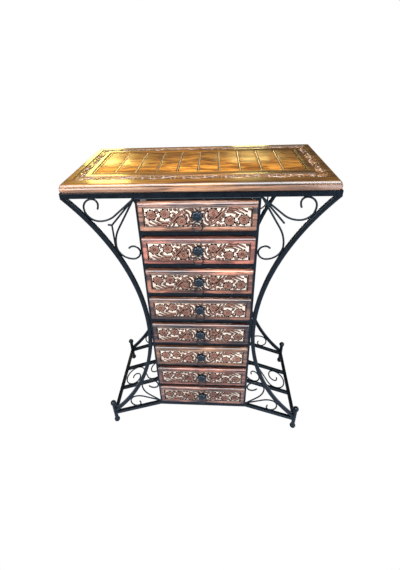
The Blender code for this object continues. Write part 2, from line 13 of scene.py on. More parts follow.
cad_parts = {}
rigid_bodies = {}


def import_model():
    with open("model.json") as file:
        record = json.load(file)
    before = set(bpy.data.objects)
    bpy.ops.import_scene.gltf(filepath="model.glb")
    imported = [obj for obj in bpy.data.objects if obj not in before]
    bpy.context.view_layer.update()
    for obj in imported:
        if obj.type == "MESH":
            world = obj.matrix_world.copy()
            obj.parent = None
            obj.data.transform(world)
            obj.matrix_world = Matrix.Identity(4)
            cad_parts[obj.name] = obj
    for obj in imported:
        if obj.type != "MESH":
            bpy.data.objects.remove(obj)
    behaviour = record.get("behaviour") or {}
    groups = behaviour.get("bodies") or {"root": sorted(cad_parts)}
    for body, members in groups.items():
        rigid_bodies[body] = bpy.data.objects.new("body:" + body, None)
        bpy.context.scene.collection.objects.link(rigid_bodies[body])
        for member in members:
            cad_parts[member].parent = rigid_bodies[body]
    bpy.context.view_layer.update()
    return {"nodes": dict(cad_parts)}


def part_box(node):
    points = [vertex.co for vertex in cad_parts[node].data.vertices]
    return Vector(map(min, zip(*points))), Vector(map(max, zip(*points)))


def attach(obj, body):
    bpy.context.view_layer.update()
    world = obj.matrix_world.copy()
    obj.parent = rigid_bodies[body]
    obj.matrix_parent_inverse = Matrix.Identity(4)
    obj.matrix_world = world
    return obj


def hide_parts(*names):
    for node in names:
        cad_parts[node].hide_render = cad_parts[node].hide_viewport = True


for existing in list(bpy.data.objects):
    bpy.data.objects.remove(existing)

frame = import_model()
random.seed(8)

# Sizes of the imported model
GAP = 0.0003
ROD = 0.005
DRAWERS = range(1, 9)
SIDES = ((-1, "left"), (1, "right"))
BOARD_LOW, BOARD_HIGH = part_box("top_board")
PANEL_LOW, PANEL_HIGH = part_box("top_slats")
RAIL_LOW, RAIL_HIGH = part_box("top_rail")
STACK_LOW, STACK_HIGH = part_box("front_frame")
SILL_LOW, SILL_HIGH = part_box("base_sill")
MIDDLE_Y = (RAIL_LOW.y + RAIL_HIGH.y) / 2
BAR = STACK_HIGH.y - STACK_LOW.y
FRAME_Y = (RAIL_HIGH.y - RAIL_LOW.y) / 2 - BAR / 2
STACK_OUTER = STACK_HIGH.x
CORNERS = [(side, MIDDLE_Y + front * FRAME_Y, f"{end}_{hand}") for side, hand in SIDES
           for front, end in ((-1, "front"), (1, "rear"))]
UP = Vector((0, 0, 1))
BACK = Vector((0, 1, 0))
ACROSS = Vector((1, 0, 0))

# Node tools


def new_material(name, settings):
    """A new material, its nodes and its main shader, with settings for that shader."""
    material = bpy.data.materials.new(name)
    material.use_nodes = True
    tree = material.node_tree
    shader = tree.nodes["Principled BSDF"]
    for key, value in settings.items():
        shader.inputs[key].default_value = value
    return material, tree, shader


def node(tree, kind, output, inputs=None, **settings):
    """An output of a new node, whose inputs are values or links."""
    made = tree.nodes.new(f"ShaderNode{kind}")
    for key, value in settings.items():
        setattr(made, key, value)
    for key, value in (inputs or {}).items():
        if isinstance(value, bpy.types.NodeSocket):
            tree.links.new(value, made.inputs[key])
        else:
            made.inputs[key].default_value = value
    return made.outputs[output]


def ramp(tree, factor, stops, kind="LINEAR"):
    """A colour ramp over a factor, from (position, colour) stops."""
    made = node(tree, "ValToRGB", "Color", {"Fac": factor})
    band = made.node.color_ramp
    band.interpolation = kind
    for place, (position, colour) in enumerate(stops):
        stop = band.elements[place] if place < 2 else band.elements.new(position)
        stop.position = position
        stop.color = (*colour, 1)
    return made


def mask(tree, factor, low, high, strength=1):
    """A mask that rises from none to its strength as a factor goes from low to high."""
    return ramp(tree, factor, ((low, (0, 0, 0)), (high, (strength, strength, strength))))


def mixed(tree, factor, one, other, kind="MIX"):
    """Two colours mixed by a factor."""
    one, other = [(*colour, 1) if isinstance(colour, tuple) else colour for colour in (one, other)]
    inputs = {"Factor": factor, 6: one, 7: other}
    return node(tree, "Mix", 2, inputs, data_type="RGBA", blend_type=kind)


def tinted(tree, colour):
    """A colour times the tint of the object that wears it."""
    return mixed(tree, 1.0, colour, node(tree, "ObjectInfo", "Color"), "MULTIPLY")


def noise(tree, vector, scale=1.0, detail=4, roughness=0.55, distortion=0.0):
    """Noise over a vector."""
    values = {"Vector": vector, "Scale": scale, "Detail": detail, "Roughness": roughness}
    return node(tree, "TexNoise", "Fac", {**values, "Distortion": distortion})


def spaced(tree, stretch=(1, 1, 1), drift=0.0, share=1):
    """Stretched object coordinates, moved apart from object to object."""
    place = node(tree, "TexCoord", "Object")
    if drift:
        world = node(tree, "ObjectInfo", "Location")
        inputs = {0: world, 1: (drift, drift, drift), 2: place}
        place = node(tree, "VectorMath", 0, inputs, operation="MULTIPLY_ADD")
    scale = tuple(s * share for s in stretch)
    return node(tree, "Mapping", "Vector", {"Vector": place, "Scale": scale})


def dressed(tree, shader, colour, factor, roughness, height, distance, strength):
    """Gives a shader its colour, a roughness that varies with a factor, and its bump."""
    values = {"Value": factor, "To Min": roughness[0], "To Max": roughness[1]}
    rough = node(tree, "MapRange", "Result", values)
    values = {"Height": height, "Distance": distance, "Strength": strength}
    normal = node(tree, "Bump", "Normal", values)
    for key, socket in (("Base Color", colour), ("Roughness", rough), ("Normal", normal)):
        tree.links.new(socket, shader.inputs[key])


# Materials


def wood_material(name, dark, middle, light, stretch, gloss, drift=0.0, coat=0.0, coat_gloss=0.12,
                  blotch=0.35, streaks=0.35, shine=0.5, spread=0.14, tones_and_shade=None, blend="CONSTANT"):
    """Varnished wood: long grain, pores, and broad streaks and blotches of stain.

    Each object may have its own tint, and tones run from left to right over the panel of slats; on the board
    the tones are painted shade, on the slats partly each slat's own tone and partly painted shade and painted
    reflection.
    """
    settings = {"Specular IOR Level": shine, "Coat Weight": coat, "Coat Roughness": coat_gloss}
    material, tree, shader = new_material(name, settings)
    grain = noise(tree, spaced(tree, stretch, drift), detail=8, roughness=0.62, distortion=0.6)
    broad = noise(tree, spaced(tree, stretch, drift, share=0.12), detail=3, roughness=0.5, distortion=0.4)
    pores = noise(tree, spaced(tree, stretch, drift, share=5), detail=2, roughness=0.5)
    stain = noise(tree, spaced(tree, (9, 14, 14), drift), detail=3)
    colour = ramp(tree, grain, ((0.50 - spread, dark), (0.50, middle), (0.50 + spread, light)))
    colour = mixed(tree, streaks, colour, ramp(tree, broad, ((0.38, dark), (0.60, light))))
    colour = mixed(tree, mask(tree, stain, 0.42, 0.66, blotch), colour, dark)
    colour = mixed(tree, mask(tree, pores, 0.60, 0.72, 0.45), colour, dark)
    colour = tinted(tree, colour)
    # Tones from left to right: painted shade, and on the slats also each slat's own tone and painted reflection
    if tones_and_shade:
        place = node(tree, "TexCoord", "Object")
        across = node(tree, "SeparateXYZ", "X", {0: place})
        limits = {"Value": across, "From Min": PANEL_LOW.x, "From Max": PANEL_HIGH.x}
        share = node(tree, "MapRange", "Result", limits)
        steps = [(i / len(tones_and_shade), (tone, tone, tone)) for i, tone in enumerate(tones_and_shade)]
        colour = mixed(tree, 1.0, colour, ramp(tree, share, steps, blend), "MULTIPLY")
    roughness = (gloss - 0.06, gloss + 0.10)
    dressed(tree, shader, colour, broad, roughness, grain, distance=0.00035, strength=0.6)
    return material


def iron_material(name, base, edge, gloss, dents, shine):
    """Blackened iron: a blue-grey bloom over black, hammered all over."""
    settings = {"Specular IOR Level": shine, "Specular Tint": (0.72, 0.87, 1.0, 1)}
    material, tree, shader = new_material(name, settings)
    place = spaced(tree)
    bloom = noise(tree, place, scale=38, roughness=0.6)
    speck = noise(tree, place, scale=420, detail=2, roughness=0.5)
    colour = mixed(tree, mask(tree, bloom, 0.36, 0.68), base, edge)
    colour = mixed(tree, mask(tree, speck, 0.58, 0.74, 0.4), colour, edge)
    roughness = (gloss - 0.07, gloss + 0.12)
    hammer = node(tree, "TexVoronoi", "Distance", {"Vector": place, "Scale": 170}, feature="SMOOTH_F1")
    dressed(tree, shader, colour, bloom, roughness, hammer, dents, strength=0.7)
    return material


def leather_material(name, dark, light, gloss, grain_depth, shine):
    """Tooled leather: a dyed tone that varies from spot to spot, with a fine grain."""
    material, tree, shader = new_material(name, {"Specular IOR Level": shine})
    place = spaced(tree, drift=3.0)
    cloud = noise(tree, place, scale=90, roughness=0.6)
    patch = noise(tree, place, scale=22, detail=2, roughness=0.5)
    colour = ramp(tree, cloud, ((0.32, dark), (0.66, light)))
    colour = tinted(tree, mixed(tree, mask(tree, patch, 0, 1, 0.5), colour, dark))
    roughness = (gloss - 0.08, gloss + 0.10)
    cells = node(tree, "TexVoronoi", "Distance", {"Vector": place, "Scale": 1500})
    dressed(tree, shader, colour, cloud, roughness, cells, grain_depth, strength=0.5)
    return material


GRAIN_X = (5, 90, 90)
# The top's tones are painted shade, darker towards both ends and most on the right
TOP_WOOD = wood_material(
    "golden_top_wood", (0.050, 0.015, 0.003), (0.290, 0.104, 0.015), (0.50, 0.212, 0.038), GRAIN_X, 0.36,
    coat=0.9, coat_gloss=0.15, spread=0.075, tones_and_shade=(0.80, 1.0, 1.0, 0.78, 0.30), blend="LINEAR")
# The band is a paler, less saturated copy of the top's wood; its paleness is painted reflection of the varnish
BAND_SHEEN_WOOD = wood_material(
    "band_wood_painted_sheen", (0.045, 0.016, 0.007), (0.270, 0.112, 0.052), (0.47, 0.235, 0.115), GRAIN_X, 0.36,
    coat=0.9, coat_gloss=0.15, spread=0.075)
# The sunk border's floor is painted shade, far darker than the top's wood
BORDER_SHADE_WOOD = wood_material(
    "border_floor_painted_shade", (0.022, 0.008, 0.003), (0.100, 0.040, 0.013), (0.19, 0.084, 0.028), GRAIN_X, 0.40,
    coat=0.5, coat_gloss=0.25)
VINE_WOOD = wood_material(
    "carved_vine_wood", (0.080, 0.031, 0.012), (0.21, 0.093, 0.038), (0.34, 0.175, 0.080), GRAIN_X, 0.30,
    coat=1.0, coat_gloss=0.08)
FILLET_WOOD = wood_material(
    "pale_fillet_wood", (0.20, 0.095, 0.035), (0.46, 0.260, 0.125), (0.60, 0.375, 0.200), (60, 26, 60), 0.34,
    coat=0.8, coat_gloss=0.2)
# The slats' tones are partly each slat's own tone and partly painted reflection and painted shade, darkest at
# the right end
SLAT_WOOD = wood_material(
    "golden_slat_wood", (0.120, 0.037, 0.006), (0.48, 0.167, 0.020), (0.75, 0.310, 0.046), (18, 70, 70), 0.34,
    coat=0.7, coat_gloss=0.30, blotch=0.42, streaks=0.2, spread=0.08,
    tones_and_shade=(0.96, 0.96, 0.72, 0.84, 1.00, 0.84, 0.90, 0.82, 0.76, 0.48))
FRONT_WOOD = wood_material(
    "red_brown_wood", (0.007, 0.003, 0.003), (0.165, 0.066, 0.039), (0.50, 0.240, 0.146), (9, 85, 85), 0.36,
    drift=3.6, coat=0.9, coat_gloss=0.13, blotch=0.75, streaks=0.30, spread=0.062)
BACKING_WOOD = wood_material(
    "dull_backing_wood", (0.012, 0.005, 0.004), (0.120, 0.046, 0.028), (0.26, 0.115, 0.070),
    (7, 110, 110), 0.6, drift=3.0, shine=0.1)
# Painted shade in the leather pockets of the drawer fronts and in the beds of the slat grooves
PAINTED_SHADE_WOOD = wood_material(
    "recess_painted_shade", (0.012, 0.005, 0.003), (0.030, 0.012, 0.007), (0.050, 0.020, 0.011),
    (7, 120, 120), 0.45, drift=5.0)
TRAY_WOOD = wood_material(
    "plain_tray_wood", (0.30, 0.19, 0.10), (0.45, 0.31, 0.18), (0.55, 0.41, 0.26), (60, 5, 60), 0.62,
    drift=4.0, blotch=0.15, shine=0.1)
IRON = iron_material(
    "hammered_iron", (0.0015, 0.0018, 0.0025), (0.004, 0.006, 0.009), gloss=0.24, dents=0.0003, shine=0.34)
PULL_IRON = iron_material(
    "pull_iron", (0.0015, 0.002, 0.003), (0.006, 0.009, 0.013), gloss=0.17, dents=0.0001, shine=0.5)
CREAM = leather_material(
    "leather_ground", (0.52, 0.37, 0.28), (0.95, 0.80, 0.65), gloss=0.42, grain_depth=0.00012, shine=0.3)
TAN = leather_material(
    "leather_relief", (0.12, 0.046, 0.030), (0.38, 0.180, 0.122), gloss=0.38, grain_depth=0.00012, shine=0.3)
OUTLINE = leather_material(
    "leather_outline", (0.004, 0.002, 0.002), (0.014, 0.006, 0.005),
    gloss=0.45, grain_depth=0.00008, shine=0.05)

# Mesh tools
CORNER_STEPS = 4
TIP_TURN = 84
TIP_STEPS = 4
ARC_STEP = 6
MERGE = 0.000001


def in_scene(name, data):
    """A new object in the scene."""
    made = bpy.data.objects.new(name, data)
    bpy.context.scene.collection.objects.link(made)
    return made


def as_mesh(name, shape, materials):
    """Turns a bmesh into a mesh with materials."""
    mesh = bpy.data.meshes.new(name)
    shape.to_mesh(mesh)
    shape.free()
    for material in materials:
        mesh.materials.append(material)
    return mesh


def finished(name, shape, materials, body, replaced=(), slot=None, smooth=38, place=None):
    """Turns a bmesh into a named piece that rides on a body and stands for CAD nodes."""
    bmesh.ops.recalc_face_normals(shape, faces=shape.faces)
    mesh = as_mesh(name, shape, materials)
    mesh.shade_smooth()
    mesh.set_sharp_from_angle(angle=radians(smooth))
    return placed(name, mesh, body, replaced, slot, place)


def placed(name, mesh, body, replaced=(), slot=None, place=None):
    """Puts a mesh in the scene as a named piece."""
    piece = in_scene(name, mesh)
    if place:
        piece.location = place
    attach(piece, body)
    if replaced:
        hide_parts(*replaced)
    return piece


def evenly(count):
    """Even shares from 0 to 1."""
    return [i / count for i in range(count + 1)]


def circle(count):
    """Angles of equal steps round a circle."""
    return [2 * pi * i / count for i in range(count)]


def round_section(radius, count):
    """Points of a round section."""
    return [(radius * cos(a), radius * sin(a)) for a in circle(count)]


def rounded_corners(half_x, half_y, radius, steps):
    """Points of a rectangle with rounded corners, round the origin."""
    points = []
    for quarter, (sx, sy) in enumerate(((1, 1), (-1, 1), (-1, -1), (1, -1))):
        for t in evenly(steps):
            a = radians(90 * (quarter + t))
            x = sx * (half_x - radius) + radius * cos(a)
            y = sy * (half_y - radius) + radius * sin(a)
            points.append((x, y))
    return points


def bridge(shape, rings, closed=False, caps=(True, True), material=0):
    """Joins rings of points into a skin, with a cap at its start and its end."""
    loops = [[shape.verts.new(point) for point in ring] for ring in rings]
    faces = []
    for one, other in zip(loops, loops[1:] + loops[:1] if closed else loops[1:]):
        faces += [(one[i - 1], one[i], other[i], other[i - 1]) for i in (*range(1, len(one)), 0)]
    if caps[0] and not closed:
        faces.append(loops[0][::-1])
    if caps[1] and not closed:
        faces.append(loops[-1])
    for face in faces:
        shape.faces.new(face).material_index = material


def sweep(shape, path, normal, section, scales=None, closed=False):
    """Carries a section along a path that lies in a plane with a given normal."""
    path = [Vector(point) for point in path]
    count = len(path)
    rings = []
    for i, point in enumerate(path):
        ahead = path[(i + 1) % count] if closed else path[min(i + 1, count - 1)]
        behind = path[i - 1] if closed else path[max(i - 1, 0)]
        across = normal.cross(ahead - behind).normalized()
        scale = scales[i] if scales else 1
        rings.append([point + scale * (u * across + v * normal) for u, v in section])
    bridge(shape, rings, closed)


def rounded_end(path, radius, scales=None):
    """A path carried on into a rounded tip, with the scale at each point."""
    tip = Vector(path[-1])
    heading = (tip - Vector(path[-2])).normalized()
    path = list(path)
    scales = list(scales or [1.0] * len(path))
    for t in evenly(TIP_STEPS)[1:]:
        a = radians(TIP_TURN * t)
        path.append(tip + heading * radius * sin(a))
        scales.append(cos(a))
    return path, scales


def blob(shape, middle, radius, flat=1.0):
    """A small uneven bead of weld."""
    made = bmesh.ops.create_icosphere(shape, subdivisions=2, radius=radius)
    for vert in made["verts"]:
        vert.co *= 1 + random.uniform(-0.10, 0.10)
        vert.co.y *= flat
        vert.co += Vector(middle)


def trim(shape, point, normal, ceiling=10.0):
    """Cuts off what lies beyond a plane and below a ceiling, and closes the cut."""
    verts = [vert for vert in shape.verts if vert.co.z < ceiling]
    low = set(verts)
    edges = [edge for edge in shape.edges if low.issuperset(edge.verts)]
    faces = [face for face in shape.faces if low.issuperset(face.verts)]
    whole = verts + edges + faces
    cut = bmesh.ops.bisect_plane(shape, geom=whole, plane_co=point, plane_no=normal, clear_outer=True)
    edges = [item for item in cut["geom_cut"] if isinstance(item, bmesh.types.BMEdge)]
    bmesh.ops.contextual_create(shape, geom=edges)


def trace(heading, moves):
    """Points along straight runs (length, 0) and arcs (radius, turn in degrees), from the origin."""
    x = 0.0
    y = 0.0
    angle = radians(heading)
    points = [(x, y)]
    for size, turn in moves:
        steps = max(1, ceil(abs(turn) / ARC_STEP))
        step = radians(turn) / steps
        chord = 2 * size * sin(abs(step) / 2) if turn else size
        for _ in range(steps):
            angle += step / 2
            x += chord * cos(angle)
            y += chord * sin(angle)
            angle += step / 2
            points.append((x, y))
    return points


def smooth_path(points, steps):
    """A smooth line through points of a plane."""
    ends = [points[0], *points, points[-1]]
    line = []
    for a, b, c, d in zip(ends, ends[1:], ends[2:], ends[3:]):
        for t in evenly(steps)[:-1]:
            line.append(tuple(0.5 * (2 * q + (r - p) * t + (2 * p - 5 * q + 4 * r - s) * t * t
                                     + (3 * q - p - 3 * r + s) * t ** 3) for p, q, r, s in zip(a, b, c, d)))
    line.append(tuple(points[-1]))
    return line


# Carved and tooled strokes
STROKE_BACK = ((-1, 0), (-0.62, 0.72), (0, 1), (0.62, 0.72), (1, 0))
FULL_STROKE = 0.0012
LEAF_POINT = 0.0001
CURL_STEPS = 14


def ribbon(shape, points, half_widths, place, height, material=0, lift=0.0):
    """A raised stroke with a rounded back along points of a plane; place turns plane points into space."""
    rings = []
    last = len(points) - 1
    for i, (x, y) in enumerate(points):
        along = Vector(points[min(i + 1, last)]) - Vector(points[max(i - 1, 0)])
        side = half_widths[i] * along.orthogonal().normalized()
        rise = height * min(1.0, half_widths[i] / FULL_STROKE)
        rings.append([place(x + u * side.x, y + u * side.y, lift + v * rise) for u, v in STROKE_BACK])
    bridge(shape, rings, material=material)


def leaf_widths(count, widest):
    """Half widths of a leaf that ends in a point at each end."""
    widths = [widest * sin(pi * t ** 0.75) ** 0.9 for t in evenly(count - 1)[1:-1]]
    return [max(w, LEAF_POINT) for w in (0, *widths, 0)]


def spiral(x, y, radius, start, turn):
    """Points of a small curl that winds inwards."""
    points = []
    for t in evenly(CURL_STEPS):
        a = radians(start + turn * t)
        r = radius * (1 - 0.72 * t)
        points.append((x + r * cos(a), y + r * sin(a)))
    return points


# Wooden top
BOARD = (BOARD_LOW.x, BOARD_HIGH.x, BOARD_LOW.y, BOARD_HIGH.y)
PANEL = (PANEL_LOW.x, PANEL_HIGH.x, PANEL_LOW.y, PANEL_HIGH.y)
BORDER_OUT = (-0.309, 0.309, MIDDLE_Y - 0.1385, MIDDLE_Y + 0.1510)
BORDER_IN = (-0.283, 0.283, MIDDLE_Y - 0.1085, MIDDLE_Y + 0.1270)
TOP_Z = BOARD_HIGH.z
TOP_FOOT = 0.0047
TOP_FOOT_SETBACK = 0.010
TOP_FOOT_END_SETBACK = 0.002
BOARD_CORNER = 0.0035
CARVE_DEPTH = 0.0022
CARVE_SLOPE = 0.0009

# Board profiles: inset and rise of the band, arcs of the round edge, outset and depth of the pocket's rim
BAND = ((0.0014, 0), (0.0004, 0.0006), (0, 0.0016), (0, 0.0098), (0.0006, 0.0106), (0.0036, 0.0108),
        (0.0036, 0.0119))
ROUND_EDGE = ((0.003, -25), (0.014, -28), (0.003, -37))
ROUND_EDGE_SETBACK = 0.0012
POCKET_RIM = ((0.0062, 0), (0.0052, 0.0007), (0.0042, 0), (0.0012, 0), (0.0003, 0.0006), (0.0003, 0.0049))

# Slats, with a fillet in a groove over each joint
SLATS = 10
SLAT_PLAY = 0.00025
SLAT_ROUND = 0.0012
SLAT_END = 0.0008
SLAT_END_DROP = 0.0006
SLAT_LIFTS = (-0.00025, 0.00005)
SLAT_BED = 0.0002
SLAT_DROP = 0.0001
GROOVE = 0.0031
GROOVE_DEPTH = 0.0016
FILLET = 0.0016
FILLET_DEPTH = 0.0009
FILLET_BACK = ((-1, 0), (-0.75, 0.7), (0, 1), (0.75, 0.7), (1, 0))

# Carved vine: its pitch, its sway as a share of the border's width, and the reach and lean of its leaves
VINE_HEIGHT = 0.0021
VINE_START = 0.030
VINE_PITCH = 0.052
VINE_SWAY = 0.28
VINE_STEM = 0.0011
VINE_LEAVES = ((0.018, -0.60), (0.023, 0.15), (0.018, 0.85))
VINE_LEAF = 0.0040
VINE_CURL = 0.0065
VINE_BUD = 0.0026
CORNER_LEAVES = (10, 45, 80)
CORNER_LEAF = 0.0036
CORNER_LEAF_REACH = 0.021


def rectangle_ring(box, z, radius, grow=0):
    """A ring of points round a rectangle at a height, made larger on every side."""
    x0, x1, y0, y1 = box
    middle = Vector(((x0 + x1) / 2, (y0 + y1) / 2, z))
    corners = rounded_corners((x1 - x0) / 2 + grow, (y1 - y0) / 2 + grow, radius, CORNER_STEPS)
    return [middle + Vector((x, y, 0)) for x, y in corners]


def make_board():
    """The moulded board: plain band, quirk, broad round edge, sunk border and pocket for the slats."""
    low = BOARD_LOW.z + TOP_FOOT
    foot = (BOARD[0] + TOP_FOOT_END_SETBACK, BOARD[1] - TOP_FOOT_END_SETBACK,
            BOARD[2] + TOP_FOOT_SETBACK, BOARD[3] - TOP_FOOT_SETBACK)
    band = [rectangle_ring(foot, z, radius=0.0015) for z in (BOARD_LOW.z, low)]
    band += [rectangle_ring(BOARD, low + rise, BOARD_CORNER, -inset) for inset, rise in BAND]
    edge = trace(90, ROUND_EDGE)
    start = TOP_Z - edge[-1][1]
    floor = TOP_Z - CARVE_DEPTH
    outer = [band[-1]]
    for inset, rise in edge:
        outer.append(rectangle_ring(BOARD, start + rise, BOARD_CORNER, -ROUND_EDGE_SETBACK - inset))
    outer.append(rectangle_ring(BORDER_OUT, TOP_Z, radius=0.004))
    outer.append(rectangle_ring(BORDER_OUT, floor, BOARD_CORNER, -CARVE_SLOPE))
    inner = [rectangle_ring(BORDER_IN, floor, BOARD_CORNER, CARVE_SLOPE),
             rectangle_ring(BORDER_IN, TOP_Z, radius=0.003)]
    inner += [rectangle_ring(PANEL, TOP_Z - depth, radius=0.0008, grow=out) for out, depth in POCKET_RIM]
    shape = bmesh.new()
    bridge(shape, band, caps=(True, False), material=2)
    bridge(shape, outer, caps=(False, False))
    # The floor of the sunk border is painted shade
    bridge(shape, [outer[-1], inner[0]], caps=(False, False), material=1)
    bridge(shape, inner, caps=(False, True))
    bmesh.ops.remove_doubles(shape, verts=shape.verts, dist=MERGE)
    woods = [TOP_WOOD, BORDER_SHADE_WOOD, BAND_SHEEN_WOOD]
    finished("top_board_moulded", shape, woods, "stand", ["top_board"], "top_wood")


def make_slats():
    """Ten boards side by side, with a fillet in a groove over each joint."""
    width = (PANEL_HIGH.x - PANEL_LOW.x) / SLATS
    low = PANEL_LOW.z + SLAT_BED
    high = PANEL_HIGH.z - SLAT_DROP
    floor = high - GROOVE_DEPTH
    ends = (PANEL_LOW.y, PANEL_HIGH.y)
    stations = ((ends[0], SLAT_END_DROP), (ends[0] + SLAT_END, 0),
                (ends[1] - SLAT_END, 0), (ends[1], SLAT_END_DROP))
    arc = [radians(90 * t) for t in evenly(CORNER_STEPS)]
    shape = bmesh.new()
    for i in range(SLATS):
        joint = PANEL_LOW.x + i * width
        x0 = joint + (GROOVE if i else SLAT_PLAY)
        x1 = PANEL_LOW.x + (i + 1) * width - (GROOVE if i < SLATS - 1 else SLAT_PLAY)
        top = high + random.uniform(*SLAT_LIFTS)
        section = [(x0, low), (x1, low)]
        section += [(x1 - SLAT_ROUND * (1 - cos(a)), top - SLAT_ROUND * (1 - sin(a))) for a in arc]
        section += [(x0 + SLAT_ROUND * (1 - sin(a)), top - SLAT_ROUND * (1 - cos(a))) for a in arc]
        bridge(shape, [[Vector((x, y, min(z, top - drop))) for x, z in section] for y, drop in stations])
        if i:
            # The bed of each groove, under its fillet, is painted shade
            bed = [(joint + u * GROOVE, z) for u, z in ((-1, low), (1, low), (1, floor), (-1, floor))]
            strip = [(joint - FILLET, floor), (joint + FILLET, floor)]
            strip += [(joint - FILLET * u, high + FILLET_DEPTH * (v - 1)) for u, v in FILLET_BACK]
            for section, material in ((bed, 2), (strip, 1)):
                rings = [[Vector((x, y, z)) for x, z in section] for y in ends]
                bridge(shape, rings, material=material)
    woods = [SLAT_WOOD, FILLET_WOOD, PAINTED_SHADE_WOOD]
    finished("top_slat_boards", shape, woods, "stand", ["top_slats"], "slat_wood")


def make_border():
    """The carved vine that runs round the sunk border."""
    shape = bmesh.new()
    base = TOP_Z - CARVE_DEPTH - 0.0001
    x0, x1, y0, y1 = BORDER_OUT
    corners = [Vector(corner) for corner in ((x0, y0), (x1, y0), (x1, y1), (x0, y1))]
    for start, end, edge in zip(corners, corners[1:] + corners[:1], (2, 1, 3, 0)):
        length = (end - start).length
        along = (end - start) / length
        width = abs(BORDER_IN[edge] - BORDER_OUT[edge])

        def place(s, t, z, start=start, along=along):
            spot = start + along * s + along.orthogonal() * t
            return Vector((spot.x, spot.y, base + z))

        def leaf(line, widest):
            ribbon(shape, line, leaf_widths(len(line), widest), place, VINE_HEIGHT)

        middle = width / 2
        count = max(2, round((length - 2 * VINE_START) / VINE_PITCH))
        step = (length - 2 * VINE_START) / count
        sway = width * VINE_SWAY
        waves = [count * t for t in evenly(12 * count)]
        line = [(VINE_START + step * wave, middle + sway * sin(pi * wave)) for wave in waves]
        ribbon(shape, line, [VINE_STEM] * len(line), place, VINE_HEIGHT * 0.75)
        for i in range(count):
            side = 1 if i % 2 == 0 else -1
            s = VINE_START + step * (i + 0.5)
            t = middle + side * sway
            for reach, lean in VINE_LEAVES:
                tip = (s + reach * sin(lean) + 0.004, t - side * min(reach * cos(lean), width * 0.66))
                bend = ((s + tip[0]) / 2 + 0.003, (t + tip[1]) / 2 + side * 0.0015)
                leaf(smooth_path([(s - 0.003, t - side * 0.001), bend, tip], 5), VINE_LEAF)
            curl = spiral(s + step * 0.36, middle - side * width * 0.16, VINE_CURL, 120 * side, -400 * side)
            widths = [0.0012 - 0.0006 * t for t in evenly(CURL_STEPS)]
            ribbon(shape, curl, widths, place, VINE_HEIGHT)
            root = s - step * 0.30
            bud = [(root, middle - side * width * 0.10), (root + 0.004, middle - side * width * 0.28)]
            leaf(smooth_path(bud, 5), VINE_BUD)
        for lean in CORNER_LEAVES:
            a = radians(lean)
            root = width * 0.28
            tip = (root + CORNER_LEAF_REACH * cos(a), root + CORNER_LEAF_REACH * sin(a))
            line = smooth_path([(width * 0.26, width * 0.26), tip], 7)
            leaf([(s, min(t, width * 0.92) if s > width else t) for s, t in line], CORNER_LEAF)
    finished("top_carved_vine", shape, [VINE_WOOD], "stand", slot="top_wood", smooth=60)


# Bowed legs and sloping base
BAR_ROUND = 0.0018
LEG_WAIST_X = STACK_OUTER + GAP + BAR / 2
LEG_WAIST_Z = 0.4885
LEG_INSET = 0.0073
LEG_STEPS = 30
LEG_OVERRUN = 1.03
PIN_DIAMETER = 0.0135
PIN_TOP_Z = 0.107
BALL_DIAMETER = 0.021
BALL_FLAT = 0.0005
FOOT_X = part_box("base_wing_right")[1].x - BALL_DIAMETER / 2
WING_END_Z = 0.0515
CROSS_Y = 0.049
WING_SLOPE = (SILL_LOW.z + BAR / 2 - WING_END_Z) / (FOOT_X - STACK_OUTER)
WING_ANGLE = atan(WING_SLOPE)
WING_HALF = BAR / 2 / cos(WING_ANGLE)
SQUARE = rounded_corners(BAR / 2, BAR / 2, BAR_ROUND, 3)
ROUND = round_section(ROD / 2, 12)

# Scrolls: angle at which each leaves its corner, its radii from the outside in and the turn of its tail
RAIL_SCROLL = (40, (0.0586, 0.033, 0.023, 0.0125, 0.027), 25)
DROP_SCROLL = (31, (0.095, 0.040, 0.021, 0.0170, 0.0145), 50)
WING_SCROLL = (40, (0.045, 0.030, 0.017, 0.015, 0.020), 8)
CLIMB_SCROLL = (50, (0.058, 0.033, 0.023, 0.016, 0.020), 50)
DART_LENGTH = 0.088
BENT_DART = Vector((0.0645, -0.0708))
SPUR = Vector((0.0086, 0.0013))
S_SPINE = 60
S_SHOULDER = 0.036
S_INNER_RADII = (0.027, 0.021)
S_EYE_RADIUS = 0.013
S_EYE_TURN = 110
S_BULGE = 0.003
SEAT = GAP + ROD / 2
BEAD = ROD * 0.46
BEAD_OFFSET = 0.45
ROOT_BEAD = ROD * 0.62


def wing_z(x):
    """Height of the middle of the sloping base bars."""
    return SILL_LOW.z + BAR / 2 - WING_SLOPE * (x - STACK_OUTER)


def leg_arc(x, z):
    """Middle, radius and turn of the arc of a right leg from its waist to an end."""
    out = x - LEG_WAIST_X
    rise = z - LEG_WAIST_Z
    radius = (out * out + rise * rise) / (2 * out)
    return Vector((LEG_WAIST_X + radius, LEG_WAIST_Z)), radius, asin(rise / radius)


LEG_END_X = FOOT_X - PIN_DIAMETER / 2 - GAP
LEG_END_Z = wing_z(LEG_END_X) + WING_HALF + 0.75 * BAR + GAP
UPPER, UPPER_RADIUS, UPPER_TURN = leg_arc(RAIL_HIGH.x - LEG_INSET, STACK_HIGH.z)
LOWER, LOWER_RADIUS, LOWER_TURN = leg_arc(LEG_END_X, LEG_END_Z)


def upright_points(points, side, y):
    """Points of the right side's upright plane, set on either side at a depth."""
    return [Vector((side * x, y, z)) for x, z in points]


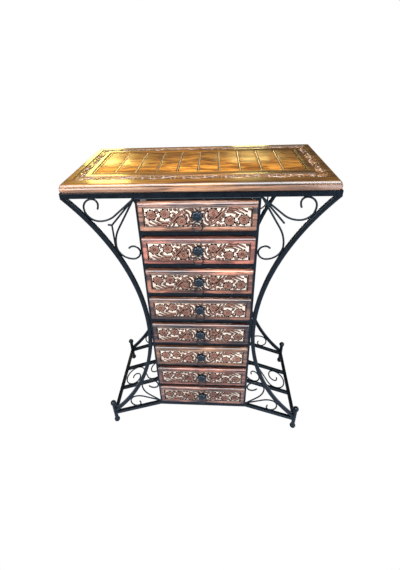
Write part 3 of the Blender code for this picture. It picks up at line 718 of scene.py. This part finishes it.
def make_legs():
    """Bowed legs of square bar, cut level under the rail and upright at the feet."""
    shares = evenly(LEG_STEPS)
    turns = [(UPPER, UPPER_RADIUS, UPPER_TURN * LEG_OVERRUN * (1 - share)) for share in shares]
    turns += [(LOWER, LOWER_RADIUS, LOWER_TURN * LEG_OVERRUN * share) for share in shares[1:]]
    middle = [(centre.x - radius * cos(a), centre.y + radius * sin(a)) for centre, radius, a in turns]
    for side, y, corner in CORNERS:
        shape = bmesh.new()
        sweep(shape, upright_points(middle, side, y), BACK, SQUARE)
        trim(shape, (0, 0, STACK_HIGH.z), UP)
        trim(shape, (side * LEG_END_X, 0, 0), Vector((side, 0, 0)), LEG_WAIST_Z)
        name = f"leg_{corner}"
        finished(f"{name}_bar", shape, [IRON], "stand", [name], "iron")


def scroll(rise, radii, tail_turn):
    """A scroll that leaves a straight member at an angle and curls back until it touches it."""
    shoulder, outer, back, eye, tail = radii
    lean = radians(rise)
    run = (outer + back - shoulder * (1 - cos(lean))) / sin(lean)
    turns = [(run, 0), (shoulder, -rise), (outer, -90), (back, -90), (eye, -90), (tail, -tail_turn)]
    return trace(rise, turns)


def seated(form, corner, along, away, leg_middle, leg_radius):
    """A scroll set in a corner, as large as the leg lets it be, and the beads where it touches."""
    points = scroll(*form)
    reach = leg_radius + BAR / 2 + SEAT
    along = Vector(along)
    away = Vector(away)

    def at(scale):
        return [corner + scale * (along * a + away * w) for a, w in points]

    small = 0.3
    large = 3.0
    for _ in range(40):
        scale = (small + large) / 2
        clear = min((point - leg_middle).length for point in at(scale)) > reach
        small, large = (scale, large) if clear else (small, scale)
    path = at(small)
    kiss = min(path, key=lambda point: (point - leg_middle).length)
    toward = (leg_middle - kiss).normalized()
    touch = min(path[len(path) // 2:], key=lambda point: (point - corner).dot(away))
    beads = [kiss + toward * ROD * BEAD_OFFSET, touch - away * ROD * BEAD_OFFSET]
    return path, beads


def make_scrolls():
    """Pairs of scrolls between legs and stack, welded where they touch, the upper ones with a dart.

    The left front dart is bent down to the leg and has a short spur at the bend.
    """
    root_x = STACK_OUTER + SEAT
    root_z = RAIL_LOW.z - SEAT
    base_z = wing_z(root_x) + WING_HALF + SEAT / cos(WING_ANGLE)
    down_wing = (cos(WING_ANGLE), -sin(WING_ANGLE))
    off_wing = (sin(WING_ANGLE), cos(WING_ANGLE))
    corner = Vector((root_x, root_z))
    foot = Vector((root_x, base_z))
    lean = radians((RAIL_SCROLL[0] + 90 - DROP_SCROLL[0]) / 2)
    dart = [corner, corner + DART_LENGTH * Vector((cos(lean), -sin(lean)))]
    bend = corner + BENT_DART
    reach = UPPER_RADIUS + BAR / 2 + SEAT
    landing = Vector((bend.x, UPPER.y + sqrt(reach ** 2 - (UPPER.x - bend.x) ** 2)))
    bent_dart = [corner, bend, landing]
    rail_scroll = seated(RAIL_SCROLL, corner, (1, 0), (0, -1), UPPER, UPPER_RADIUS)
    drop_scroll = seated(DROP_SCROLL, corner, (0, -1), (1, 0), UPPER, UPPER_RADIUS)
    wing_scroll = seated(WING_SCROLL, foot, down_wing, off_wing, LOWER, LOWER_RADIUS)
    climb_scroll = seated(CLIMB_SCROLL, foot, (0, 1), (1, 0), LOWER, LOWER_RADIUS)
    for side, y, place in CORNERS:
        darts = [(dart, [])]
        if place == "front_left":
            darts = [(bent_dart, [landing]), ([bend, bend + SPUR], [])]
        levels = {"upper": [rail_scroll, *darts, drop_scroll], "lower": [wing_scroll, climb_scroll]}
        for level, paths in levels.items():
            shape = bmesh.new()
            for path, beads in paths:
                line, scales = rounded_end(upright_points(path, side, y), ROD / 2)
                sweep(shape, line, BACK, ROUND, scales)
                for bead in upright_points(beads, side, y):
                    blob(shape, bead, BEAD)
            blob(shape, upright_points([paths[0][0][0]], side, y)[0], ROOT_BEAD, flat=1.1)
            name = f"{level}_scroll_{place}"
            finished(f"{name}_rods", shape, [IRON], "stand", [name], "iron", smooth=50)


def ball_arc(start, end, middle, steps):
    """Radii and heights of a ball between two angles."""
    ball = BALL_DIAMETER / 2
    angles = [start + (end - start) * t for t in evenly(steps)]
    return [(ball * cos(a), middle + ball * sin(a)) for a in angles]


def foot_pin(shape, x, y):
    """A ball that stands flat on the floor, a shaft and a ball on top."""
    low = BALL_DIAMETER / 2 - BALL_FLAT
    flat = asin(low / (BALL_DIAMETER / 2))
    neck = acos(PIN_DIAMETER / BALL_DIAMETER)
    profile = ball_arc(-flat, neck, low, 8) + ball_arc(-neck, radians(86), PIN_TOP_Z, 9)
    rings = [[Vector((x + u, y + v, z)) for u, v in round_section(radius, 24)] for radius, z in profile]
    bridge(shape, rings)


def s_scroll():
    """Half-turn symmetric S in the plane of a wing, touching both cross bars."""
    touch = CROSS_Y - BAR / 2 - ROD / 2 + GAP
    lean = radians(S_SPINE)
    run = (touch - S_SHOULDER * (1 - cos(lean))) / sin(lean)
    moves = [(run, 0), (S_SHOULDER, S_SPINE), (touch + S_BULGE, 90), (touch - S_BULGE, 90)]
    moves += [(radius, 90) for radius in S_INNER_RADII]
    moves.append((S_EYE_RADIUS, S_EYE_TURN))
    half = trace(-S_SPINE, moves)
    return [(-x, -y) for x, y in half[:0:-1]] + half


def make_wings():
    """Sloping side frames: bars, side rail, S scroll and ball-ended feet."""
    start_x = STACK_OUTER + GAP
    end_x = FOOT_X - BAR / 2
    middle_x = (start_x + end_x) / 2
    reach = FRAME_Y - PIN_DIAMETER / 2 + 0.001
    for side, hand in SIDES:
        shape = bmesh.new()
        for y in (-FRAME_Y, -CROSS_Y, CROSS_Y, FRAME_Y):
            ends = upright_points([(x, wing_z(x)) for x in (start_x, end_x)], side, MIDDLE_Y + y)
            bridge(shape, [[end + Vector((0, u, v / cos(WING_ANGLE))) for u, v in SQUARE] for end in ends])
        ends = [Vector((side * FOOT_X, MIDDLE_Y + y, wing_z(FOOT_X))) for y in (-reach, reach)]
        sweep(shape, ends, UP, SQUARE)
        tilt = Matrix.Rotation(side * WING_ANGLE, 3, "Y")
        centre = Vector((side * middle_x, MIDDLE_Y, wing_z(middle_x)))
        line, scales = rounded_end([centre + tilt @ Vector((x, y, 0)) for x, y in s_scroll()], ROD / 2)
        line, scales = rounded_end(line[::-1], ROD / 2, scales[::-1])
        sweep(shape, line, tilt @ UP, ROUND, scales)
        for y in (-FRAME_Y, FRAME_Y):
            foot_pin(shape, side * FOOT_X, MIDDLE_Y + y)
        finished(f"base_wing_{hand}_bars", shape, [IRON], "stand", [f"base_wing_{hand}"], "iron")


# Welded frames that are kept as packed, with the width of their softened edges
FRAME_EDGES = {"top_rail": 0.0012, "base_sill": 0.0012, "front_frame": 0.0012, "runner_cage": 0.0008}


def soften(name, material, width):
    """Keeps a CAD node, with its edges softened and a new finish."""
    kept = frame["nodes"][name]
    weld = kept.modifiers.new("weld", "WELD")
    weld.merge_threshold = 0.00001
    bevel = kept.modifiers.new("bevel", "BEVEL")
    bevel.width = width
    bevel.segments = 2
    bevel.limit_method = "ANGLE"
    bevel.angle_limit = radians(40)
    kept.data.materials.clear()
    kept.data.materials.append(material)


def make_frames():
    """The rail, sill, stack and runner frames."""
    for name, width in FRAME_EDGES.items():
        soften(name, IRON, width)


# Drawers
FRONT_LOW, FRONT_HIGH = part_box("drawer_1_front")
LEATHER_LOW, LEATHER_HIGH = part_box("drawer_1_leather")
PULL_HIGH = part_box("drawer_1_pull")[1]
RING_LOW, RING_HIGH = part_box("drawer_1_ring")
TRAY_LOW, TRAY_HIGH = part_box("drawer_1_box")
FRONT_WIDTH = FRONT_HIGH.x - FRONT_LOW.x
FRONT_HEIGHT = FRONT_HIGH.z - FRONT_LOW.z
FRONT_EDGE = 0.0004
FRONT_CORNER = 0.0008
FRONT_SIDE_SHARE = 0.35
LIP = 0.0008
POCKET_SIDE_PLAY = 0.0032
POCKET_TOP_PLAY = 0.0009
BACKING_END = TRAY_LOW.y + 0.009
BACKING_EDGE = 0.0006
TRAY_WALL = 0.008
TRAY_SETBACK = 0.003
TRAY_FLOOR = 0.005
TRAY_RIM = 0.062
TRAY_EDGE = 0.0009
PANEL_MIDDLE = (LEATHER_LOW.z + LEATHER_HIGH.z) / 2 - FRONT_LOW.z

# Front profile: arcs of the bead along its top, then inset and depth of the quirk behind the bead
FRONT_BEAD = ((0.002, 18), (0.009, 47), (0.002, 25))
FRONT_QUIRK = ((0.0064, 0.0003), (0.0070, 0.0016), (0.0080, 0.0017), (0.0087, 0.0006), (0.0096, 0.0004))


def upright_ring(half_x, half_z, middle, y, radius, steps=CORNER_STEPS):
    """A ring of points round an upright rectangle at a depth."""
    return [Vector((x, y, middle + z)) for x, z in rounded_corners(half_x, half_z, radius, steps)]


def front_ring(sides, bottom, top, y, radius):
    """A ring of points inset from the edges of a drawer front whose lower edge is at z = 0."""
    middle = (FRONT_HEIGHT + bottom - top) / 2
    half_z = (FRONT_HEIGHT - bottom - top) / 2
    return upright_ring(FRONT_WIDTH / 2 - sides, half_z, middle, y, radius)


def front_shape():
    """A drawer front with a beaded top and a pocket for the leather."""
    face = FRONT_LOW.y
    back = FRONT_HIGH.y
    rings = [front_ring(FRONT_EDGE, FRONT_EDGE, FRONT_EDGE, back, 0.001),
             front_ring(0, 0, 0, back - FRONT_EDGE, 0.0014)]
    bead = trace(0, FRONT_BEAD)
    for out, inset in bead:
        edge = inset * FRONT_SIDE_SHARE
        rings.append(front_ring(edge, edge, inset, face + bead[-1][0] - out, 0.0012))
    for inset, depth in FRONT_QUIRK:
        edge = 0.0013 + inset * 0.1
        rings.append(front_ring(edge, edge, inset, face + depth, FRONT_CORNER))
    side = LEATHER_LOW.x - FRONT_LOW.x - POCKET_SIDE_PLAY
    bottom = LEATHER_LOW.z - FRONT_LOW.z - GAP
    top = FRONT_HIGH.z - LEATHER_HIGH.z - POCKET_TOP_PLAY
    rings.append(front_ring(side - LIP, bottom - LIP, top - LIP, face + 0.0003, FRONT_CORNER))
    lip = len(rings)
    rings.append(front_ring(side, bottom, top, face + 0.0009, FRONT_CORNER))
    rings.append(front_ring(side, bottom, top, LEATHER_HIGH.y + 0.0002, FRONT_CORNER))
    shape = bmesh.new()
    bridge(shape, rings[:lip + 1], caps=(True, False))
    # The pocket's walls below the lip and its floor are painted shade
    bridge(shape, rings[lip:], caps=(False, True), material=1)
    bmesh.ops.remove_doubles(shape, verts=shape.verts, dist=MERGE)
    return shape


def slab(half_x, half_z, middle, radius, stations):
    """A board with softened edges, from an inset at each station along Y."""
    shape = bmesh.new()
    rings = [upright_ring(half_x - inset, half_z - inset, middle, y, radius, 2) for inset, y in stations]
    bridge(shape, rings)
    return shape


def backing_shape():
    """The board behind a drawer front, in the front's own frame."""
    low = TRAY_LOW.z - FRONT_LOW.z
    half_z = (FRONT_HEIGHT - low) / 2
    edge = BACKING_EDGE
    stations = ((edge, FRONT_HIGH.y - GAP), (0, FRONT_HIGH.y), (0, BACKING_END - edge), (edge, BACKING_END))
    return slab(TRAY_HIGH.x, half_z, low + half_z, edge, stations)


def tray_shape():
    """The open tray behind the backing, its underside at z = 0."""
    half = TRAY_HIGH.x - TRAY_SETBACK
    clear = half - TRAY_WALL
    edge = TRAY_EDGE
    outside = (-half, half, BACKING_END - 0.003, TRAY_HIGH.y)
    inside = (-clear, clear, BACKING_END - 0.0005, TRAY_HIGH.y - TRAY_WALL)
    sides = ((outside, 0, 0.001, -edge), (outside, edge, 0.0015), (outside, TRAY_RIM - edge, 0.0015),
             (outside, TRAY_RIM, 0.001, -edge), (inside, TRAY_RIM, 0.001, edge),
             (inside, TRAY_RIM - edge, 0.0005), (inside, TRAY_FLOOR, 0.0005))
    shape = bmesh.new()
    bridge(shape, [rectangle_ring(*side) for side in sides])
    return shape


# Half of the tooled pattern, in millimetres from the middle of the panel; the rest is a half turn of it
# Stems: points and half width. Leaves: root, bend, tip and half width
# Curls: middle, radius, start and turn. Flowers: middle, radius and turn
STEMS = (
    (((-71, -25), (-63, -13), (-54, -2), (-45, 9), (-36, 17.5), (-24, 23)), 2.2),
    (((-61, -24.5), (-56, -15), (-50, -6), (-45, 2)), 1.2),
    (((-35, 19), (-26, 15), (-20, 8), (-20, 2)), 1.0),
    (((-58, -6), (-64, 0), (-69, 2)), 0.9),
    (((-26, -23), (-14, -18), (-3, -19), (6, -23)), 1.0),
    (((-131, 22), (-131.5, 8), (-131, -6), (-130, -20)), 0.9),
    (((-13, 24), (-14, 17), (-11, 11), (-14, 6)), 0.8),
    (((-27, -7), (-25, -1), (-27, 5)), 0.8),
)
LEAVES = (
    ((-68, -12), (-84, -13.5), (-101, -5.5), 1.6),
    ((-70, -17.5), (-91, -19), (-112, -8.5), 1.9),
    ((-75, -22.5), (-97, -24), (-121, -13.5), 1.9),
    ((-49, 4), (-57, 11), (-62, 12), 1.7),
    ((-42, 13), (-45, 19), (-43, 24), 1.5),
    ((-46, 6), (-37, 4.5), (-29, 8), 1.9),
    ((-39, 14), (-31, 10.5), (-25, 11), 1.5),
    ((-20, 2), (-16, -4), (-19, -11), 1.7),
    ((-24, 22.5), (-16, 20.5), (-9, 23.5), 1.6),
    ((-27, -21), (-20, -16), (-21, -10), 1.5),
    ((-99, 23), (-95, 17), (-97, 10), 1.4),
)
CURLS = (
    (-53, 20, 3.2, 200, -420), (-94.5, -3.5, 2.8, 10, 380), (-124, -20.5, 2.4, 90, 400),
    (-13, -8, 2.8, 120, 420), (-63, 21, 2.3, 90, 380), (-8, -22.5, 2.2, 160, -400),
    (-28, 2.5, 2.3, 250, -400), (-101, -14.5, 1.2, 0, 360), (-64.5, -6.5, 2.4, 60, 400),
    (-10, 17.5, 2.2, 200, -400), (-99.5, 18.5, 2.2, 20, 380), (-58, 3.5, 1.8, 0, 380),
)
FLOWERS = ((-113, 6.5, 13.4, 0.3), (-78.5, 9.5, 13.0, 0.55), (-38.5, -10.5, 13.0, 0.1))
PETALS = 7
MM = 0.001
RELIEF = 0.00075
RELIEF_ROOT = 0.0001
DARK_RELIEF = 0.00025
DARK_EDGE = 1.55
STUD_LIMIT = 23
STUD = 2.8
# Width and inset of the dark strip of painted shadow round the leather panel
PANEL_EDGE_SHADOW = 0.0007
PANEL_EDGE_SHADOW_INSET = 0.0012


def dome(shape, x, y, radius, place, rise, material):
    """A low round stud."""
    rings = []
    for share, lift in ((1.0, RELIEF_ROOT), (0.85, 0.75 * rise), (0.5, rise)):
        r = radius * share
        rings.append([place((x + r * cos(a)) * MM, (y + r * sin(a)) * MM, lift) for a in circle(12)])
    bridge(shape, rings, material=material)


def flower(shape, x, y, radius, turn, place):
    """A flower: dark outline, domed petals, a beaded eye and studs between the petals."""
    def ring(share, extra, height, groove=0.0):
        points = []
        for a in circle(PETALS * 8):
            lobe = abs(cos(PETALS / 2 * (a - turn)))
            r = (radius * (0.50 + 0.52 * lobe ** 0.9) + extra) * share
            drop = groove * (1 - lobe) ** 1.5
            points.append(place((x + r * cos(a)) * MM, (y + r * sin(a)) * MM, height - drop))
        return points

    bridge(shape, [ring(1, 1.2, 0), ring(0.98, 1.1, DARK_RELIEF), ring(0.30, 0, DARK_RELIEF)], material=2)
    petals = ((1, RELIEF_ROOT, 0), (0.95, RELIEF * 0.75, 0.0002), (0.78, RELIEF, 0.0004),
              (0.52, RELIEF * 0.85, 0.0005), (0.32, RELIEF * 0.45, 0.0002), (0.24, RELIEF_ROOT, 0))
    bridge(shape, [ring(share, 0, height, groove) for share, height, groove in petals], material=1)
    dome(shape, x, y, radius * 0.31, place, 0.00045, 2)
    dome(shape, x, y, radius * 0.20, place, 0.0009, 1)
    for i in range(PETALS):
        a = turn + pi / PETALS + 2 * pi * i / PETALS
        across = radius * cos(a)
        upward = radius * sin(a)
        line = [((x + share * across) * MM, (y + share * upward) * MM) for share in (0.33, 0.48, 0.68)]
        ribbon(shape, line, [0.0002, 0.0004, 0.0006], place, 0.0006, 2, RELIEF_ROOT)
        if abs(y + upward) < STUD_LIMIT:
            dome(shape, x + across, y + upward, STUD, place, 0.0004, 2)


def stroke(shape, line, widths, place):
    """A raised stroke of the pattern over its dark outline."""
    points = [(x * MM, y * MM) for x, y in line]
    ribbon(shape, points, [(w + DARK_EDGE) * MM for w in widths], place, DARK_RELIEF, 2)
    ribbon(shape, points, [w * MM for w in widths], place, RELIEF, 1, lift=0.00008)


def on_panel(half):
    """Turns points of the pattern into space, as drawn for 1 and turned half round for -1."""
    return lambda x, z, lift: Vector((half * x, LEATHER_LOW.y - lift, PANEL_MIDDLE + half * z))


def leather_shape():
    """The leather panel with its tooled relief, in the front's own frame."""
    half_x = (LEATHER_HIGH.x - LEATHER_LOW.x) / 2
    half_z = (LEATHER_HIGH.z - LEATHER_LOW.z) / 2
    stations = ((0, LEATHER_HIGH.y), (0, LEATHER_LOW.y + 0.0003), (0.0004, LEATHER_LOW.y))
    shape = slab(half_x, half_z, PANEL_MIDDLE, 0.0006, stations)
    for half in (1, -1):
        place = on_panel(half)
        for points, width in STEMS:
            line = smooth_path(points, 5)
            widths = [max(0.25, width * min(1, 4.5 * t, 3.0 * (1 - t))) for t in evenly(len(line) - 1)]
            stroke(shape, line, widths, place)
        for *points, width in LEAVES:
            line = smooth_path(points, 5)
            stroke(shape, line, [w / MM for w in leaf_widths(len(line), width * MM)], place)
        for curl in CURLS:
            stroke(shape, spiral(*curl), [1.1 - 0.5 * t for t in evenly(CURL_STEPS)], place)
        for x, y, radius, turn in FLOWERS:
            flower(shape, x, y, radius, turn, place)
    # A dark strip round the panel's edge is painted shadow of the pocket's rim
    signs = ((-1, -1), (1, -1), (1, 1), (-1, 1))
    corners = [(sx * (half_x - PANEL_EDGE_SHADOW_INSET), sz * (half_z - PANEL_EDGE_SHADOW_INSET)) for sx, sz in signs]
    for ends in zip(corners, corners[1:] + corners[:1]):
        ribbon(shape, ends, [PANEL_EDGE_SHADOW, PANEL_EDGE_SHADOW], on_panel(1), 0.0003, 2)
    return shape


# Pulls: radius and reach along the rosette's profile, then its flutes, the eye under it and the ring
ROSETTE = ((0.0080, 0.0), (0.0108, 0.0008), (0.0124, 0.0024), (0.0133, 0.0046), (0.0138, 0.0070),
           (0.0138, 0.0094), (0.0132, 0.0116), (0.0120, 0.0136), (0.0100, 0.0150), (0.0072, 0.0156),
           (0.0052, 0.0151), (0.0042, 0.0149), (0.0036, 0.0154), (0.0022, 0.0159), (0.0007, 0.0160))
FLUTES = 8
FLUTE_START = 0.0046
FLUTE_GROWTH = 0.008
PULL_HEIGHT = 0.0445
RING_STANDOFF = 0.005
RING_DROP = 0.017
RING_WIRE = 0.0012
RING_SOLID_WIRE = 0.0015
EYE = 0.0031
EYE_WIRE = 0.00085
NECK = 0.0017


def pull_shape():
    """A fluted rosette with a button, and an eye below it for the ring, along -Y from y = 0."""
    shape = bmesh.new()
    rings = []
    for radius, out in ROSETTE:
        ring = []
        share = max(0.0, min(1.0, (radius - FLUTE_START) / FLUTE_GROWTH))
        for a in circle(64):
            valley = 1 - abs(cos(FLUTES / 2 * a))
            r = radius * (1 + share * (0.06 - 0.15 * valley ** 1.4))
            lift = out * (1 - 0.08 * share * valley ** 1.6)
            ring.append(Vector((r * sin(a), -lift, r * cos(a))))
        rings.append(ring)
    bridge(shape, rings)
    eye = [Vector((0, y - RING_STANDOFF, z - RING_DROP)) for y, z in round_section(EYE, 24)]
    sweep(shape, eye, ACROSS, round_section(EYE_WIRE, 8), closed=True)
    neck = [Vector((0, -RING_STANDOFF, z)) for z in (-0.003, 0.0034 - RING_DROP)]
    sweep(shape, neck, ACROSS, round_section(NECK, 10))
    return shape


def ring_shape():
    """A wire ring that hangs from the origin."""
    shape = bmesh.new()
    radius = (RING_HIGH.z - RING_LOW.z) / 2 - RING_SOLID_WIRE
    line = [Vector((radius * sin(a), 0, radius * cos(a) - radius)) for a in circle(48)]
    sweep(shape, line, BACK, round_section(RING_WIRE, 10), closed=True)
    return shape


# Tint of the wood and of the leather of each drawer, from the top down
TINTS = (
    ((1.06, 1.05, 1.02), 0.88),
    ((0.92, 0.64, 0.68), 0.88),
    ((0.98, 0.78, 0.70), 0.76),
    ((0.48, 0.42, 0.39), 0.84),
    ((0.38, 0.28, 0.26), 0.76),
    ((0.74, 0.72, 0.60), 0.97),
    ((0.64, 0.46, 0.45), 0.70),
    ((0.64, 0.58, 0.62), 0.68),
)


def make_drawers():
    """Eight drawers: front, backing, tray, tooled leather, pull and ring."""
    meshes = {}
    for number, (wood_tint, leather_tint) in zip(DRAWERS, TINTS):
        body = f"drawer_{number}"
        low = Vector((0, 0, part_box(f"{body}_front")[0].z))
        tray = Vector((0, 0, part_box(f"{body}_box")[0].z))
        axis = low + Vector((0, PULL_HIGH.y, PULL_HEIGHT))
        swing = axis + Vector((0, -RING_STANDOFF, -RING_DROP))
        parts = (("front", "front_board", front_shape, [FRONT_WOOD, PAINTED_SHADE_WOOD], body, "drawer_wood", low, 50),
                 (None, "backing", backing_shape, [BACKING_WOOD], body, "drawer_wood", low, 50),
                 ("box", "tray", tray_shape, [TRAY_WOOD], body, "box_wood", tray, 40),
                 ("leather", "tooling", leather_shape, [CREAM, TAN, OUTLINE], body, "leather", low, 40),
                 ("pull", "rosette", pull_shape, [PULL_IRON], body, "pull_iron", axis, 50),
                 ("ring", "hoop", ring_shape, [PULL_IRON], f"ring_{number}", "pull_iron", swing, 60))
        for replaced, piece, make, materials, rider, slot, place, smooth in parts:
            name = f"{body}_{piece}"
            nodes = [f"{body}_{replaced}"] if replaced else []
            if piece in meshes:
                made = placed(name, meshes[piece], rider, nodes, slot, place)
            else:
                made = finished(name, make(), materials, rider, nodes, slot, smooth, place)
                meshes[piece] = made.data
            tint = wood_tint if slot == "drawer_wood" else (leather_tint, leather_tint, leather_tint)
            made.color = (*tint, 1)


# Stage: room, and lamps with name, place, target, size, power and colour, and True if only mirrored
ROOM_FRONT = (0.26, 0.30, 0.36)
ROOM_BACK = (0.11, 0.075, 0.047)
LAMPS = (
    ("overhead", (0.1, -1.05, 2.45), (0, -0.05, 0.7), (3.6, 0.8), 128, (0.87, 0.93, 1.0)),
    ("front_key", (-1.5, -2.2, 1.35), (0, 0, 0.5), (1.4, 1.2), 45, (1.0, 0.95, 0.90)),
    ("front_fill", (1.9, -1.9, 0.9), (0, 0, 0.4), (1.4, 1.8), 42, (0.70, 0.86, 1.0)),
    ("back_fill", (0.0, 2.5, 0.42), (0, 0.1, 0.45), (0.7, 0.6), 26, (1.0, 0.95, 0.88)),
    ("left_window", (-0.98, 2.2, 1.62), (-0.3, 0, 0.95), (0.36, 0.80), 7.0, (1.0, 0.82, 0.24), True),
    ("right_window", (0.34, 2.2, 1.50), (0.12, 0, 0.95), (0.28, 0.25), 1.6, (1.0, 0.88, 0.32), True),
)

# Camera, fitted to the photograph: its place, and its heading, tilt and roll in degrees
CAMERA_PLACE = (0.0449, MIDDLE_Y - 0.9324, 1.2180)
CAMERA_TURNS = (("Z", 5.04), ("X", 90 - 32.65), ("Z", -2.52))


def white_to_camera(tree, lit, kind, output):
    """Shows plain white to the camera and a lit shader to everything else."""
    white = node(tree, kind, 0, {"Color": (1, 1, 1, 1), "Strength": 1.0})
    seen = node(tree, "LightPath", "Is Camera Ray")
    blend = node(tree, "MixShader", 0, {0: seen, 1: lit.outputs[0], 2: white})
    tree.links.new(blend, tree.nodes[output].inputs["Surface"])


def make_floor():
    """A pale floor that carries on into the white background."""
    settings = {"Base Color": (0.31, 0.35, 0.42, 1), "Roughness": 0.8}
    material, tree, shader = new_material("pale_floor", settings)
    white_to_camera(tree, shader, "Emission", "Material Output")
    shape = bmesh.new()
    bmesh.ops.create_grid(shape, x_segments=2, y_segments=2, size=30)
    floor = in_scene("floor", as_mesh("floor", shape, [material]))


def lamp(name, place, target, size, power, colour, mirrored_only=False):
    """A soft rectangular light aimed at a point, or one that only shows in varnish and metal."""
    light = bpy.data.lights.new(name, "AREA")
    light.shape = "RECTANGLE"
    light.size, light.size_y = size
    light.energy = power
    light.color = colour
    holder = in_scene(name, light)
    holder.location = place
    holder.rotation_euler = (Vector(target) - Vector(place)).to_track_quat("-Z", "Y").to_euler()
    holder.visible_diffuse = not mirrored_only


def make_light():
    """The room, the lamps and golden windows for the varnish to mirror."""
    world = bpy.data.worlds.new("studio")
    world.use_nodes = True
    tree = world.node_tree
    room = tree.nodes["Background"]
    heading = node(tree, "TexCoord", "Generated")
    depth = node(tree, "SeparateXYZ", "Y", {0: heading})
    limits = {"Value": depth, "From Min": -1.0, "From Max": 1.0}
    share = node(tree, "MapRange", "Result", limits)
    tree.links.new(ramp(tree, share, ((0.25, ROOM_FRONT), (0.75, ROOM_BACK))), room.inputs["Color"])
    white_to_camera(tree, room, "Background", "World Output")
    bpy.context.scene.world = world
    for row in LAMPS:
        lamp(*row)


def make_camera():
    """The photograph's viewpoint."""
    data = bpy.data.cameras.new("camera")
    data.lens = 21.62
    data.sensor_width = 36
    data.shift_x = 0.0171
    data.shift_y = -0.0352
    data.clip_start = 0.05
    data.clip_end = 60
    view = Matrix.Translation(CAMERA_PLACE)
    for axis, angle in CAMERA_TURNS:
        view = view @ Matrix.Rotation(radians(angle), 4, axis)
    camera = in_scene("camera", data)
    camera.matrix_world = view
    bpy.context.scene.camera = camera


make_board()
make_slats()
make_border()
make_legs()
make_scrolls()
make_wings()
make_frames()
make_drawers()
make_floor()
make_light()
make_camera()
bpy.context.scene.view_settings.view_transform = "Standard"
